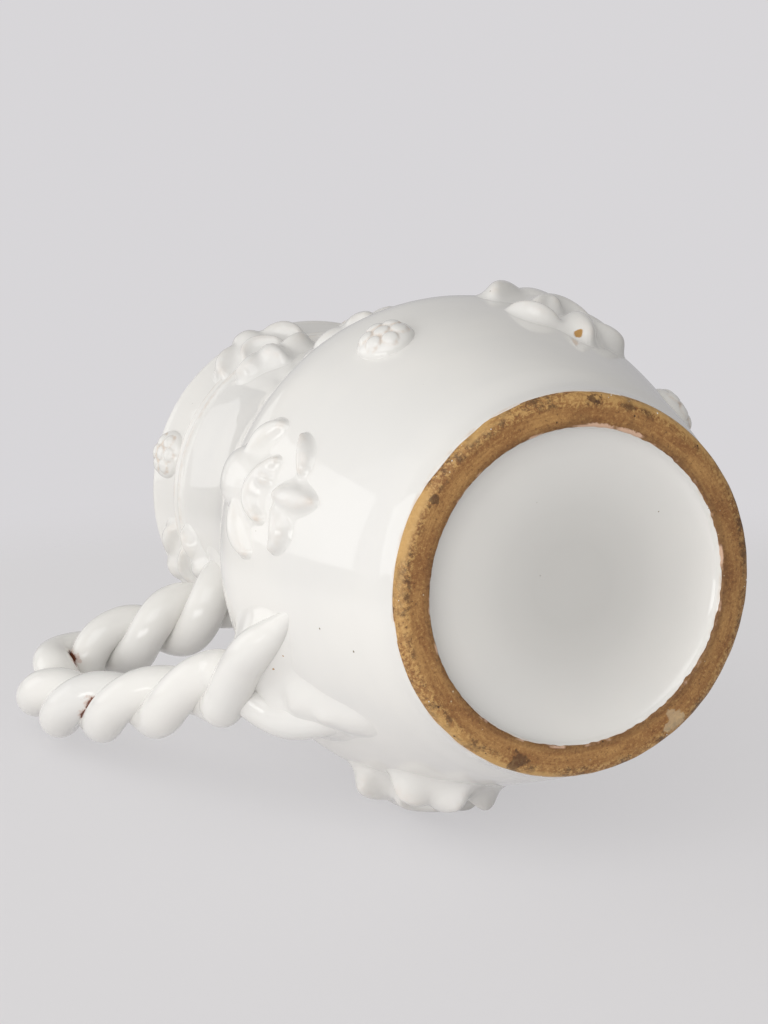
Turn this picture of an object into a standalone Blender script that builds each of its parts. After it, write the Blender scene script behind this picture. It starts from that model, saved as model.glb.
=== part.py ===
"""Tin-glazed earthenware jug with a rope-twist handle and applied leaf sprigs.

The jug stands upright on its raw clay foot ring, with its handle towards +X and its
pouring lip towards -X. The pieces are the ones a potter makes separately and lutes together
with slip: the thrown vessel, the foot ring, the two coils of the handle, the press-moulded
sprigs and the rosettes. All lengths are in metres, written in millimetres times MM.
"""

import math

import bmesh
import bpy
from mathutils import Vector

MM = 0.001
SEAM = 0.3 * MM  # slip line between two luted pieces

# Thrown vessel: outer wall as (height, radius) in millimetres
OUTER_WALL = (
    (0.0, 54.6),
    (5.0, 55.4),
    (10.0, 56.6),
    (19.0, 60.4),
    (44.0, 68.7),
    (69.0, 76.0),
    (88.0, 78.4),
    (107.0, 73.8),
    (126.0, 66.8),
    (146.0, 60.2),
    (168.0, 55.4),
    (192.0, 55.2),
    (217.0, 58.6),
    (237.0, 63.4),
)
HEIGHT = 237.0 * MM
WALL = 5.5 * MM
LIP_WALL = 5.0 * MM
BASE_UNDERSIDE = 5.0 * MM
FLOOR_TOP = 12.0 * MM
FLOOR_CORNER = 9.0 * MM
BEAD_BOTTOM = 213.4 * MM
BEAD_TOP = 218.6 * MM
BEAD_PROUD = 0.9 * MM
BEAD_EDGE = 0.6 * MM
TURNED_SEGMENTS = 56
RIM_BELOW_LIP = 227.0 * MM
INNER_WALL_TOP = 218.0 * MM
OUTER_STEPS = 12
INNER_STEPS = 9
LIP_STEPS = 4

# Pouring lip, pulled out of the rim opposite the handle
SPOUT_REACH = 11.0 * MM
SPOUT_START = 196.0 * MM
SPOUT_HALF_ANGLE = math.radians(20.0)
SPOUT_EASE = 1.5

# Foot ring: raw clay, flat where it stands and rounded off outside
FOOT_RADIUS = 55.0 * MM
FOOT_INNER_RADIUS = 45.2 * MM
FOOT_FLAT_RADIUS = 51.5 * MM
FOOT_ROUNDING_RISE = 3.0 * MM
FOOT_ROUNDING_STEPS = 3
FOOT_INNER_LEAN = 1.4 * MM  # the inner side leans out towards the base
FOOT_INNER_EASE = (0.3 * MM, 1.5 * MM)  # its soft lower edge, as reach and height

# Handle: centre line as (distance from the jug's axis, height) in millimetres
HANDLE_LINE = (
    (44.0, 191.5),
    (64.0, 193.0),
    (82.0, 199.0),
    (97.0, 206.0),
    (110.5, 211.5),
    (122.5, 208.0),
    (129.5, 194.0),
    (127.0, 171.0),
    (118.0, 148.0),
    (104.0, 118.0),
    (95.0, 102.0),
    (90.2, 93.0),
    (88.2, 84.0),
)
STRAND_RADIUS = 5.9 * MM
TWIST_RADIUS = STRAND_RADIUS + 0.4 * MM
TWIST_TURNS = 4.05
TWIST_TIGHTENING = 0.31  # the lay is closer at the neck than at the belly by this share
TWIST_END_PHASE = math.radians(206.0)
STRAND_STATIONS = 58
STRAND_SIDES = 10
TAIL_STATIONS = 4
# Tails pressed onto the belly: (angle in degrees, height, lift of the centre, radius) in millimetres
TAIL_A = ((6.0, 75.0, 7.0, 5.9), (12.5, 65.0, 5.2, 5.9), (18.0, 55.0, 3.0, 5.0), (23.0, 46.0, -1.0, 3.0))
TAIL_B = ((-6.0, 75.0, 4.6, 6.0), (-9.0, 66.0, 3.2, 6.2), (-11.5, 54.0, 1.6, 5.8), (-14.0, 41.0, -1.6, 4.0))
CURVE_SAMPLES = 24

# Sprigs: leaves as (direction in degrees from the tangent, length, width) in millimetres
BELLY_LEAVES = (
    (14.0, 22.0, 11.5),
    (-18.0, 22.0, 11.0),
    (-87.0, 26.5, 14.0),
    (-154.0, 21.0, 11.5),
    (168.0, 23.0, 11.5),
    (94.0, 26.5, 14.0),
)
NECK_LEAVES = (
    (22.0, 17.5, 9.5),
    (-24.0, 17.0, 9.5),
    (-88.0, 18.0, 10.0),
    (-154.0, 17.0, 9.5),
    (160.0, 17.5, 9.5),
    (92.0, 17.0, 10.0),
)
JOINT_LEAVES = (
    (22.0, 18.0, 10.0),
    (-16.0, 16.0, 9.0),
    (-166.0, 16.0, 9.0),
    (158.0, 18.0, 10.0),
    (92.0, 15.0, 10.0),
)
LEAF_RELIEF = 5.0 * MM
BUD_RELIEF = 5.8 * MM
BUD_RADIUS = 6.4 * MM
PATCH_EDGE = 0.7 * MM
SPRIG_SPOKES = 36
SPRIG_TOP_RINGS = (0.34, 0.6, 0.82, 1.0)
SPRIG_SEAT_RINGS = (0.34, 0.67, 1.0)

# Rosettes: pellets set round a middle one
ROSETTE_PELLETS = 6
PELLET_RADIUS = 2.8 * MM
PELLET_CIRCLE = 5.4 * MM
PELLET_RELIEF = 3.4 * MM
ROSETTE_SPOKES = 24
ROSETTE_TOP_RINGS = (0.33, 0.66, 1.0)
ROSETTE_SEAT_RINGS = (0.5, 1.0)

# Places on the wall: name, angle from the handle in degrees, height in millimetres
BELLY_SPRIGS = (
    ("belly_sprig_1", 48.0, 65.0),
    ("belly_sprig_2", 143.0, 77.0),
    ("belly_sprig_3", -47.0, 68.0),
    ("belly_sprig_4", -137.0, 72.0),
)
SHOULDER_SPRIGS = (("shoulder_sprig_1", 97.0, 121.0), ("shoulder_sprig_2", -97.0, 121.0))
NECK_SPRIGS = (("neck_sprig_1", 94.0, 215.5), ("neck_sprig_2", -92.0, 215.5))
JOINT_SPRIG = ("neck_sprig_3", 4.0, 217.0)
BELLY_ROSETTES = (
    ("belly_rosette_1", 92.0, 63.0),
    ("belly_rosette_2", 176.0, 63.0),
    ("belly_rosette_3", -92.0, 63.0),
)
RIM_ROSETTES = (
    ("rim_rosette_1", 44.0, 227.0),
    ("rim_rosette_2", 136.0, 227.0),
    ("rim_rosette_3", -44.0, 227.0),
    ("rim_rosette_4", -136.0, 227.0),
)

GLAZE_COLOUR = (0.80, 0.79, 0.75)
CLAY_COLOUR = (0.27, 0.13, 0.05)
SHARP_ANGLE = math.radians(50.0)

# The solid that trims the coils to the wall, clear of the foot and of the bead
SEAT_BOTTOM = 2.0 * MM
SEAT_TOP = 212.0 * MM
SEAT_STEPS = 30

# A seat on the neck lifts over the bead within the first distance of it and lies flat past the second
BEAD_NEAR = 5.0 * MM
BEAD_FAR = 13.0 * MM


def clear_scene():
    """Take every object out of the open file."""
    for thing in list(bpy.data.objects):
        bpy.data.objects.remove(thing, do_unlink=True)


def make_material(name, colour, roughness):
    """One finish: tin glaze or raw clay."""
    material = bpy.data.materials.new(name)
    material.use_nodes = True
    shader = material.node_tree.nodes["Principled BSDF"]
    shader.inputs["Base Color"].default_value = (*colour, 1.0)
    shader.inputs["Roughness"].default_value = roughness
    shader.inputs["Metallic"].default_value = 0.0
    return material


def add_piece(name, shape, material, parent):
    """Turn a bmesh into a named, smooth-shaded piece of the jug."""
    bmesh.ops.recalc_face_normals(shape, faces=shape.faces)
    mesh = bpy.data.meshes.new(name)
    shape.to_mesh(mesh)
    shape.free()
    mesh.materials.append(material)
    mesh.shade_smooth()
    mesh.set_sharp_from_angle(angle=SHARP_ANGLE)
    piece = bpy.data.objects.new(name, mesh)
    bpy.context.collection.objects.link(piece)
    piece.parent = parent
    return piece


def smoothstep(low, high, x):
    """0 below low, 1 above high, and a soft rise between them."""
    t = min(max((x - low) / (high - low), 0.0), 1.0)
    return t * t * (3.0 - 2.0 * t)


def wall_radius(z):
    """Outer radius of the thrown wall at height z: a smooth curve through OUTER_WALL."""
    height = z / MM
    last = len(OUTER_WALL) - 1
    i = 0
    while i < last - 1 and height > OUTER_WALL[i + 1][0]:
        i += 1

    def slope(knot):
        below = OUTER_WALL[max(knot - 1, 0)]
        above = OUTER_WALL[min(knot + 1, last)]
        return (above[1] - below[1]) / (above[0] - below[0])

    (z0, r0), (z1, r1) = OUTER_WALL[i], OUTER_WALL[i + 1]
    span = z1 - z0
    t = (height - z0) / span
    ease = t * t * (3.0 - 2.0 * t)
    swing = slope(i) * t * (1.0 - t) ** 2 - slope(i + 1) * t * t * (1.0 - t)
    return (r0 + (r1 - r0) * ease + span * swing) * MM


def wall_slope(z):
    """Change of the wall's radius per unit of height."""
    step = 0.5 * MM
    return (wall_radius(z + step) - wall_radius(z - step)) / (2.0 * step)


def wall_point(angle, z, lift):
    """A point a distance lift outside the wall, square to it."""
    slope = wall_slope(z)
    length = math.hypot(1.0, slope)
    radius = wall_radius(z) + lift / length
    return Vector((radius * math.cos(angle), radius * math.sin(angle), z - lift * slope / length))


def spin_profile(profile, segments):
    """Turn an outline of (radius, height) points about the jug's axis into a closed body."""
    shape = bmesh.new()
    verts = [shape.verts.new((radius, 0.0, z)) for radius, z in profile]
    pairs = list(zip(verts, verts[1:]))
    if profile[0][0] > 0.0:
        pairs.append((verts[-1], verts[0]))
    edges = [shape.edges.new(pair) for pair in pairs]
    bmesh.ops.spin(
        shape,
        geom=verts + edges,
        axis=(0.0, 0.0, 1.0),
        cent=(0.0, 0.0, 0.0),
        angle=2.0 * math.pi,
        steps=segments,
        use_merge=True,
    )
    bmesh.ops.remove_doubles(shape, verts=shape.verts, dist=0.001 * MM)
    return shape


def outer_outline():
    """Outer wall from the base to the start of the lip, with the turned bead below the rim."""
    rise = (BEAD_BOTTOM - BASE_UNDERSIDE) / OUTER_STEPS
    heights = [BASE_UNDERSIDE + rise * i for i in range(OUTER_STEPS + 1)]
    outline = [(wall_radius(z), z) for z in heights]
    for z in (BEAD_BOTTOM + BEAD_EDGE, BEAD_TOP - BEAD_EDGE):
        outline.append((wall_radius(z) + BEAD_PROUD, z))
    outline.append((wall_radius(BEAD_TOP), BEAD_TOP))
    outline.append((wall_radius(RIM_BELOW_LIP), RIM_BELOW_LIP))
    return outline


def lip_outline():
    """The rounded lip, as a half circle from the outer wall over to the inner one."""
    radius = LIP_WALL / 2.0
    middle = HEIGHT - radius
    centre = wall_radius(middle) - radius
    turns = [math.pi * i / LIP_STEPS for i in range(LIP_STEPS + 1)]
    return [(centre + radius * math.cos(a), middle + radius * math.sin(a)) for a in turns]


def inner_outline():
    """Inner wall from the lip down to the floor, and in to the axis."""
    bottom = FLOOR_TOP + FLOOR_CORNER
    drop = (bottom - INNER_WALL_TOP) / INNER_STEPS
    heights = [INNER_WALL_TOP + drop * i for i in range(INNER_STEPS + 1)]
    outline = [(wall_radius(z) - WALL * math.hypot(1.0, wall_slope(z)), z) for z in heights]
    corner = outline[-1][0] - FLOOR_CORNER
    half = FLOOR_CORNER * math.sqrt(0.5)
    outline.append((corner + half, bottom - half))
    outline.append((corner, FLOOR_TOP))
    outline.append((0.0, FLOOR_TOP))
    return outline


def pull_lip(shape):
    """Draw the rim outwards in a soft trough on the side away from the handle."""
    for vert in shape.verts:
        angle = math.atan2(vert.co.y, -vert.co.x)
        side = math.exp(-((angle / SPOUT_HALF_ANGLE) ** 2))
        reach = SPOUT_REACH * side * smoothstep(SPOUT_START, HEIGHT, vert.co.z) ** SPOUT_EASE
        away = Vector((vert.co.x, vert.co.y, 0.0))
        if away.length > 0.0:
            vert.co += away.normalized() * reach


def make_body(glaze, parent):
    """The thrown vessel: belly, shoulder, neck, bead and lip in one wall."""
    outline = [(0.0, BASE_UNDERSIDE)] + outer_outline() + lip_outline() + inner_outline()
    shape = spin_profile(outline, TURNED_SEGMENTS)
    pull_lip(shape)
    return add_piece("body", shape, glaze, parent)


def make_foot_ring(clay, parent):
    """The foot: a coil thrown on under the base, left unglazed."""
    top = BASE_UNDERSIDE - SEAM
    rounding = FOOT_RADIUS - FOOT_FLAT_RADIUS
    outline = [(FOOT_INNER_RADIUS, 0.0)]
    for i in range(FOOT_ROUNDING_STEPS + 1):
        turn = 0.5 * math.pi * i / FOOT_ROUNDING_STEPS
        radius = FOOT_FLAT_RADIUS + rounding * math.sin(turn)
        outline.append((radius, FOOT_ROUNDING_RISE * (1.0 - math.cos(turn))))
    outline.append((FOOT_RADIUS, top))
    outline.append((FOOT_INNER_RADIUS + FOOT_INNER_LEAN, top))
    reach, height = FOOT_INNER_EASE
    outline.append((FOOT_INNER_RADIUS + reach, height))
    return add_piece("foot_ring", spin_profile(outline, TURNED_SEGMENTS), clay, parent)


def hide(cutter):
    """Keep a trimming solid out of the part."""
    cutter.hide_render = True
    cutter.display_type = "WIRE"
    return cutter


def make_seat_cutter(glaze, parent):
    """A solid as large as the vessel and its slip line, which trims what is luted onto the wall."""
    rise = (SEAT_TOP - SEAT_BOTTOM) / SEAT_STEPS
    heights = [SEAT_BOTTOM + rise * i for i in range(SEAT_STEPS + 1)]
    wall = [(wall_radius(z) + SEAM, z) for z in heights]
    outline = [(0.0, SEAT_BOTTOM)] + wall + [(0.0, SEAT_TOP)]
    return hide(add_piece("seat_cutter", spin_profile(outline, TURNED_SEGMENTS), glaze, parent))


def curve_through(points, samples):
    """Points on a Catmull-Rom curve through the given vectors, with so many samples a span."""
    last = len(points) - 1
    curve = []
    for i in range(last):
        before, after = points[max(i - 1, 0)], points[min(i + 2, last)]
        start, end = points[i], points[i + 1]
        for k in range(samples):
            t = k / samples
            leave, arrive = (end - before) / 2.0, (after - start) / 2.0
            ease = t * t * (3.0 - 2.0 * t)
            curve.append(start.lerp(end, ease) + leave * t * (1.0 - t) ** 2 - arrive * t * t * (1.0 - t))
    curve.append(points[last].copy())
    return curve


def even_stations(curve, count):
    """So many evenly spaced points along a curve, each with its direction."""
    lengths = [0.0]
    for a, b in zip(curve, curve[1:]):
        lengths.append(lengths[-1] + (b - a).length)
    stations = []
    k = 0
    for i in range(count):
        target = lengths[-1] * i / (count - 1)
        while k < len(curve) - 2 and lengths[k + 1] < target:
            k += 1
        share = (target - lengths[k]) / (lengths[k + 1] - lengths[k])
        stations.append((curve[k].lerp(curve[k + 1], share), (curve[k + 1] - curve[k]).normalized()))
    return stations


def strand_path(side, tail):
    """Centre line and radius of one coil of the handle, from the neck to the tip of its tail.

    The two coils, side 0 and side 1, lie opposite each other round the handle's centre line
    in a left-handed twist, and part where they are pressed onto the belly.
    """
    line = [Vector((x, 0.0, z)) * MM for x, z in HANDLE_LINE]
    stations = even_stations(curve_through(line, CURVE_SAMPLES), STRAND_STATIONS)
    across = Vector((0.0, 1.0, 0.0))
    path = []
    for i, (centre, along) in enumerate(stations):
        left = 1.0 - i / (STRAND_STATIONS - 1)
        turns = TWIST_TURNS * ((1.0 - TWIST_TIGHTENING) * left + TWIST_TIGHTENING * left * left)
        phase = TWIST_END_PHASE + 2.0 * math.pi * turns + math.pi * side
        inward = across.cross(along)
        path.append((centre + TWIST_RADIUS * (math.cos(phase) * inward + math.sin(phase) * across), STRAND_RADIUS))
    pressed = [path[-1]]
    for angle, height, lift, radius in tail:
        pressed.append((wall_point(math.radians(angle), height * MM, lift * MM), radius * MM))
    lead = [path[-2][0]] + [point for point, _ in pressed]
    run = curve_through(lead, TAIL_STATIONS)[TAIL_STATIONS + 1 :]
    for k, point in enumerate(run):
        place = (k + 1) / TAIL_STATIONS
        i = min(int(place), len(pressed) - 2)
        share = place - i
        radius = pressed[i][1] * (1.0 - share) + pressed[i + 1][1] * share
        path.append((point, radius))
    return path


def tube(path, sides):
    """A closed round coil along a path of (centre, radius)."""
    shape = bmesh.new()
    across = Vector((0.0, 1.0, 0.0))
    rings = []
    last = len(path) - 1
    for i, (centre, radius) in enumerate(path):
        along = (path[min(i + 1, last)][0] - path[max(i - 1, 0)][0]).normalized()
        across = (across - along * across.dot(along)).normalized()
        square = along.cross(across)
        turns = [2.0 * math.pi * k / sides for k in range(sides)]
        rings.append(
            [shape.verts.new(centre + radius * (math.cos(a) * across + math.sin(a) * square)) for a in turns]
        )
    for ring, after in zip(rings, rings[1:]):
        for k in range(sides):
            n = (k + 1) % sides
            shape.faces.new((ring[k], ring[n], after[n], after[k]))
    shape.faces.new(rings[0])
    shape.faces.new(reversed(rings[-1]))
    return shape


def make_coil_cutter(side, tail, glaze, parent):
    """A coil with its slip line, which trims the other coil where the two are pressed together."""
    path = [(centre, radius + SEAM) for centre, radius in strand_path(side, tail)]
    return hide(add_piece("coil_cutter", tube(path, STRAND_SIDES), glaze, parent))


def make_strand(name, side, tail, glaze, cutters, parent):
    """One coil of the twisted handle, trimmed by the wall and by what it is pressed against."""
    strand = add_piece(name, tube(strand_path(side, tail), STRAND_SIDES), glaze, parent)
    for cutter in cutters:
        trim = strand.modifiers.new(cutter.name, "BOOLEAN")
        trim.operation = "DIFFERENCE"
        trim.solver = "EXACT"
        trim.object = cutter
    return strand


def bead_clearance(z):
    """How far a seat stands off the wall to pass over the bead."""
    away = abs(z - (BEAD_BOTTOM + BEAD_TOP) / 2.0)
    return BEAD_PROUD * (1.0 - smoothstep(BEAD_NEAR, BEAD_FAR, away))


def relief_patch(angle, z, spokes, top_rings, seat_rings, outline, relief):
    """A closed moulded piece laid on the wall, round a point of it.

    outline gives the patch's radius in a direction, and relief its height above the edge at a
    point (along the wall's girth, up the wall). The seat follows the wall at the slip line.
    """
    shape = bmesh.new()
    rise = 1.0 / math.hypot(1.0, wall_slope(z))

    def place(along, up, lift):
        height = z + up * rise
        return wall_point(angle + along / wall_radius(height), height, lift)

    def layer(rings, lift_at):
        middle = shape.verts.new(place(0.0, 0.0, lift_at(0.0, 0.0)))
        grid = []
        for share in rings:
            ring = []
            for k in range(spokes):
                turn = 2.0 * math.pi * k / spokes
                reach = outline(turn) * share
                along, up = reach * math.cos(turn), reach * math.sin(turn)
                ring.append(shape.verts.new(place(along, up, lift_at(along, up))))
            grid.append(ring)
        for k in range(spokes):
            n = (k + 1) % spokes
            shape.faces.new((middle, grid[0][k], grid[0][n]))
            for ring, after in zip(grid, grid[1:]):
                shape.faces.new((ring[k], after[k], after[n], ring[n]))
        return grid[-1]

    def seat(along, up):
        return SEAM + bead_clearance(z + up * rise)

    top = layer(top_rings, lambda along, up: seat(along, up) + PATCH_EDGE + relief(along, up))
    bottom = layer(seat_rings, seat)
    for k in range(spokes):
        n = (k + 1) % spokes
        shape.faces.new((top[k], bottom[k], bottom[n], top[n]))
    return shape


def leaf_share(along, up, leaf):
    """0 in the middle of an oval leaf and 1 on its edge."""
    direction, length, width = leaf
    turn = math.radians(direction)
    ahead = along * math.cos(turn) + up * math.sin(turn)
    aside = up * math.cos(turn) - along * math.sin(turn)
    half = length * MM / 2.0
    return math.hypot((ahead - half) / half, aside / (width * MM / 2.0))


def leaf_reach(turn, leaf):
    """How far an oval leaf that starts at the sprig's middle reaches in a direction."""
    direction, length, width = leaf
    off = turn - math.radians(direction)
    forward = math.cos(off)
    if forward <= 0.0:
        return 0.0
    half = length * MM / 2.0
    slim = width * MM / 2.0
    return 2.0 * forward / half / ((forward / half) ** 2 + (math.sin(off) / slim) ** 2)


def make_sprig(name, angle, z, leaves, glaze, parent):
    """A press-moulded sprig: domed leaves spreading from a bud."""

    def outline(turn):
        return max([BUD_RADIUS] + [leaf_reach(turn, leaf) for leaf in leaves])

    def relief(along, up):
        shares = [(LEAF_RELIEF, leaf_share(along, up, leaf)) for leaf in leaves]
        shares.append((BUD_RELIEF, math.hypot(along, up) / BUD_RADIUS))
        return max(height * math.sqrt(max(1.0 - share * share, 0.0)) for height, share in shares)

    shape = relief_patch(
        math.radians(angle), z * MM, SPRIG_SPOKES, SPRIG_TOP_RINGS, SPRIG_SEAT_RINGS, outline, relief
    )
    return add_piece(name, shape, glaze, parent)


def make_rosette(name, angle, z, glaze, parent):
    """A small flower of clay pellets round a middle one."""
    spread = 2.0 * math.pi / ROSETTE_PELLETS
    turns = [spread * k for k in range(ROSETTE_PELLETS)]
    middles = [(PELLET_CIRCLE * math.cos(a), PELLET_CIRCLE * math.sin(a)) for a in turns]

    def outline(turn):
        off = (turn + spread / 2.0) % spread - spread / 2.0
        side = PELLET_CIRCLE * math.sin(off)
        return PELLET_CIRCLE * math.cos(off) + math.sqrt(max(PELLET_RADIUS**2 - side**2, 0.0))

    def relief(along, up):
        off = min(math.hypot(along - x, up - y) for x, y in middles + [(0.0, 0.0)])
        return PELLET_RELIEF * math.sqrt(max(1.0 - (off / PELLET_RADIUS) ** 2, 0.0))

    shape = relief_patch(
        math.radians(angle), z * MM, ROSETTE_SPOKES, ROSETTE_TOP_RINGS, ROSETTE_SEAT_RINGS, outline, relief
    )
    return add_piece(name, shape, glaze, parent)


def stand_on_origin(root, pieces):
    """Move the jug so that the middle of its box stands on the origin."""
    bpy.context.view_layer.update()
    graph = bpy.context.evaluated_depsgraph_get()
    corners = []
    for piece in pieces:
        shown = piece.evaluated_get(graph)
        corners += [shown.matrix_world @ Vector(corner) for corner in shown.bound_box]
    low = Vector([min(c[i] for c in corners) for i in range(3)])
    high = Vector([max(c[i] for c in corners) for i in range(3)])
    root.location = -Vector(((low.x + high.x) / 2.0, (low.y + high.y) / 2.0, low.z))
    print("jug axis at", [round(v / MM, 2) for v in root.location], "mm")


def main():
    """Make every piece of the jug round its own axis, then stand it on the origin."""
    clear_scene()
    glaze = make_material("tin_glaze", GLAZE_COLOUR, 0.12)
    clay = make_material("raw_clay", CLAY_COLOUR, 0.75)
    root = bpy.data.objects.new("jug_axis", None)
    bpy.context.collection.objects.link(root)
    seat = make_seat_cutter(glaze, root)
    coil = make_coil_cutter(0, TAIL_A, glaze, root)
    pieces = [make_body(glaze, root), make_foot_ring(clay, root)]
    pieces.append(make_strand("handle_strand_a", 0, TAIL_A, glaze, [seat], root))
    pieces.append(make_strand("handle_strand_b", 1, TAIL_B, glaze, [seat, coil], root))
    for name, angle, z in BELLY_SPRIGS + SHOULDER_SPRIGS:
        pieces.append(make_sprig(name, angle, z, BELLY_LEAVES, glaze, root))
    for name, angle, z in NECK_SPRIGS:
        pieces.append(make_sprig(name, angle, z, NECK_LEAVES, glaze, root))
    name, angle, z = JOINT_SPRIG
    pieces.append(make_sprig(name, angle, z, JOINT_LEAVES, glaze, root))
    for name, angle, z in BELLY_ROSETTES + RIM_ROSETTES:
        pieces.append(make_rosette(name, angle, z, glaze, root))
    stand_on_origin(root, pieces)


main()
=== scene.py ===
"""Dressed model of a white-glazed jug with a rope handle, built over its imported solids.

In the row frame the jug stands on its foot ring, +Z points from foot to rim and the handle is at +X.
For the picture it lies on its side, so the floor, the lamps and the camera are turned instead of the jug.
"""

from __future__ import annotations

import logging
import math
from dataclasses import dataclass, replace
from enum import Enum

import bmesh
import bpy
import numpy as np
from mathutils import Matrix, Vector

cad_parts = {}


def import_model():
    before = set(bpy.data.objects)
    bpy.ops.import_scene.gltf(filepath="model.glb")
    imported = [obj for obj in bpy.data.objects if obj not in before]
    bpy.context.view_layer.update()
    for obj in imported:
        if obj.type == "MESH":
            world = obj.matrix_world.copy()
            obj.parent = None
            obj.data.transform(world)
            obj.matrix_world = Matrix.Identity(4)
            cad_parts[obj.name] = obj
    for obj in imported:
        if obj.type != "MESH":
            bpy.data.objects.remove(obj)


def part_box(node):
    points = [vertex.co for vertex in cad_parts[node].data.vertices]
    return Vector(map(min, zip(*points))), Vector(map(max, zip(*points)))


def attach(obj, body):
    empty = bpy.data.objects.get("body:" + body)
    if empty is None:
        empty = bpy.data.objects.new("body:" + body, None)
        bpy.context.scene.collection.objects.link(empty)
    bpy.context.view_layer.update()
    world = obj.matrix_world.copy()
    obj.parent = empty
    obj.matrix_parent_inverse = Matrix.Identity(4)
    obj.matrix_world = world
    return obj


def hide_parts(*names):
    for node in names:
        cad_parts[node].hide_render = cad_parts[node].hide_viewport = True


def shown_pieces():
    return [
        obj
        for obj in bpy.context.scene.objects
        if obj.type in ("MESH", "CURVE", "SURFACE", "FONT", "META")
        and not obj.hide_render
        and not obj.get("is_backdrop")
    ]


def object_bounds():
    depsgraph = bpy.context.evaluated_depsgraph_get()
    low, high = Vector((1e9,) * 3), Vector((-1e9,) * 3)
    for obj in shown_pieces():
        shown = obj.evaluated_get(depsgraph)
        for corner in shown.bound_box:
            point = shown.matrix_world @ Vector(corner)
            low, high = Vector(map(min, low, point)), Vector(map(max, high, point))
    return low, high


LOG = logging.getLogger("jug")
MM = 0.001
PLAIN_SOFT = 0.6
PLAIN_POOLING = 2.7

Colour = tuple[float, float, float, float]
Pair = tuple[float, float]
Waves = tuple[tuple[int, float, float], ...]
Knots = tuple[tuple[float, float, float, float], ...]
Flat = tuple[np.ndarray, np.ndarray, np.ndarray]


class Body(str, Enum):
    """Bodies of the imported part."""

    ROOT = "root"


class Slot(str, Enum):
    """Material slots of the record."""

    GLAZE = "tin_glaze"
    CLAY = "raw_clay"


class Layer(str, Enum):
    """Point attributes that the finishes read."""

    THIN = "thin"
    POOLED = "pooled"


def smoothstep(value: np.ndarray, low: float, high: float) -> np.ndarray:
    """Eases from 0 at low to 1 at high."""
    share = np.clip((value - low) / (high - low), 0.0, 1.0)
    return share * share * (3.0 - 2.0 * share)


def hump(value: np.ndarray, middle: float, half: float) -> np.ndarray:
    """A bell of height 1 at its middle, which drops to about a third at half its width."""
    return np.exp(-(((value - middle) / half) ** 2))


def ripple(waves: Waves, angle: np.ndarray) -> np.ndarray:
    """Adds up waves round the axis, each given by its count, height and start."""
    return sum(size * np.sin(count * angle + start) for count, size, start in waves)


def live(sockets: bpy.types.NodeInputs | bpy.types.NodeOutputs) -> list[bpy.types.NodeSocket]:
    """The sockets that a node shows with its present settings."""
    return [socket for socket in sockets if socket.enabled]


@dataclass(frozen=True)
class Mark:
    """A flaw at one place of a surface, in metres in the row frame."""

    place: Vector
    radius: float


@dataclass(frozen=True)
class Line:
    """A flaw along a straight line, in metres in the row frame."""

    start: Vector
    end: Vector
    half: float


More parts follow.
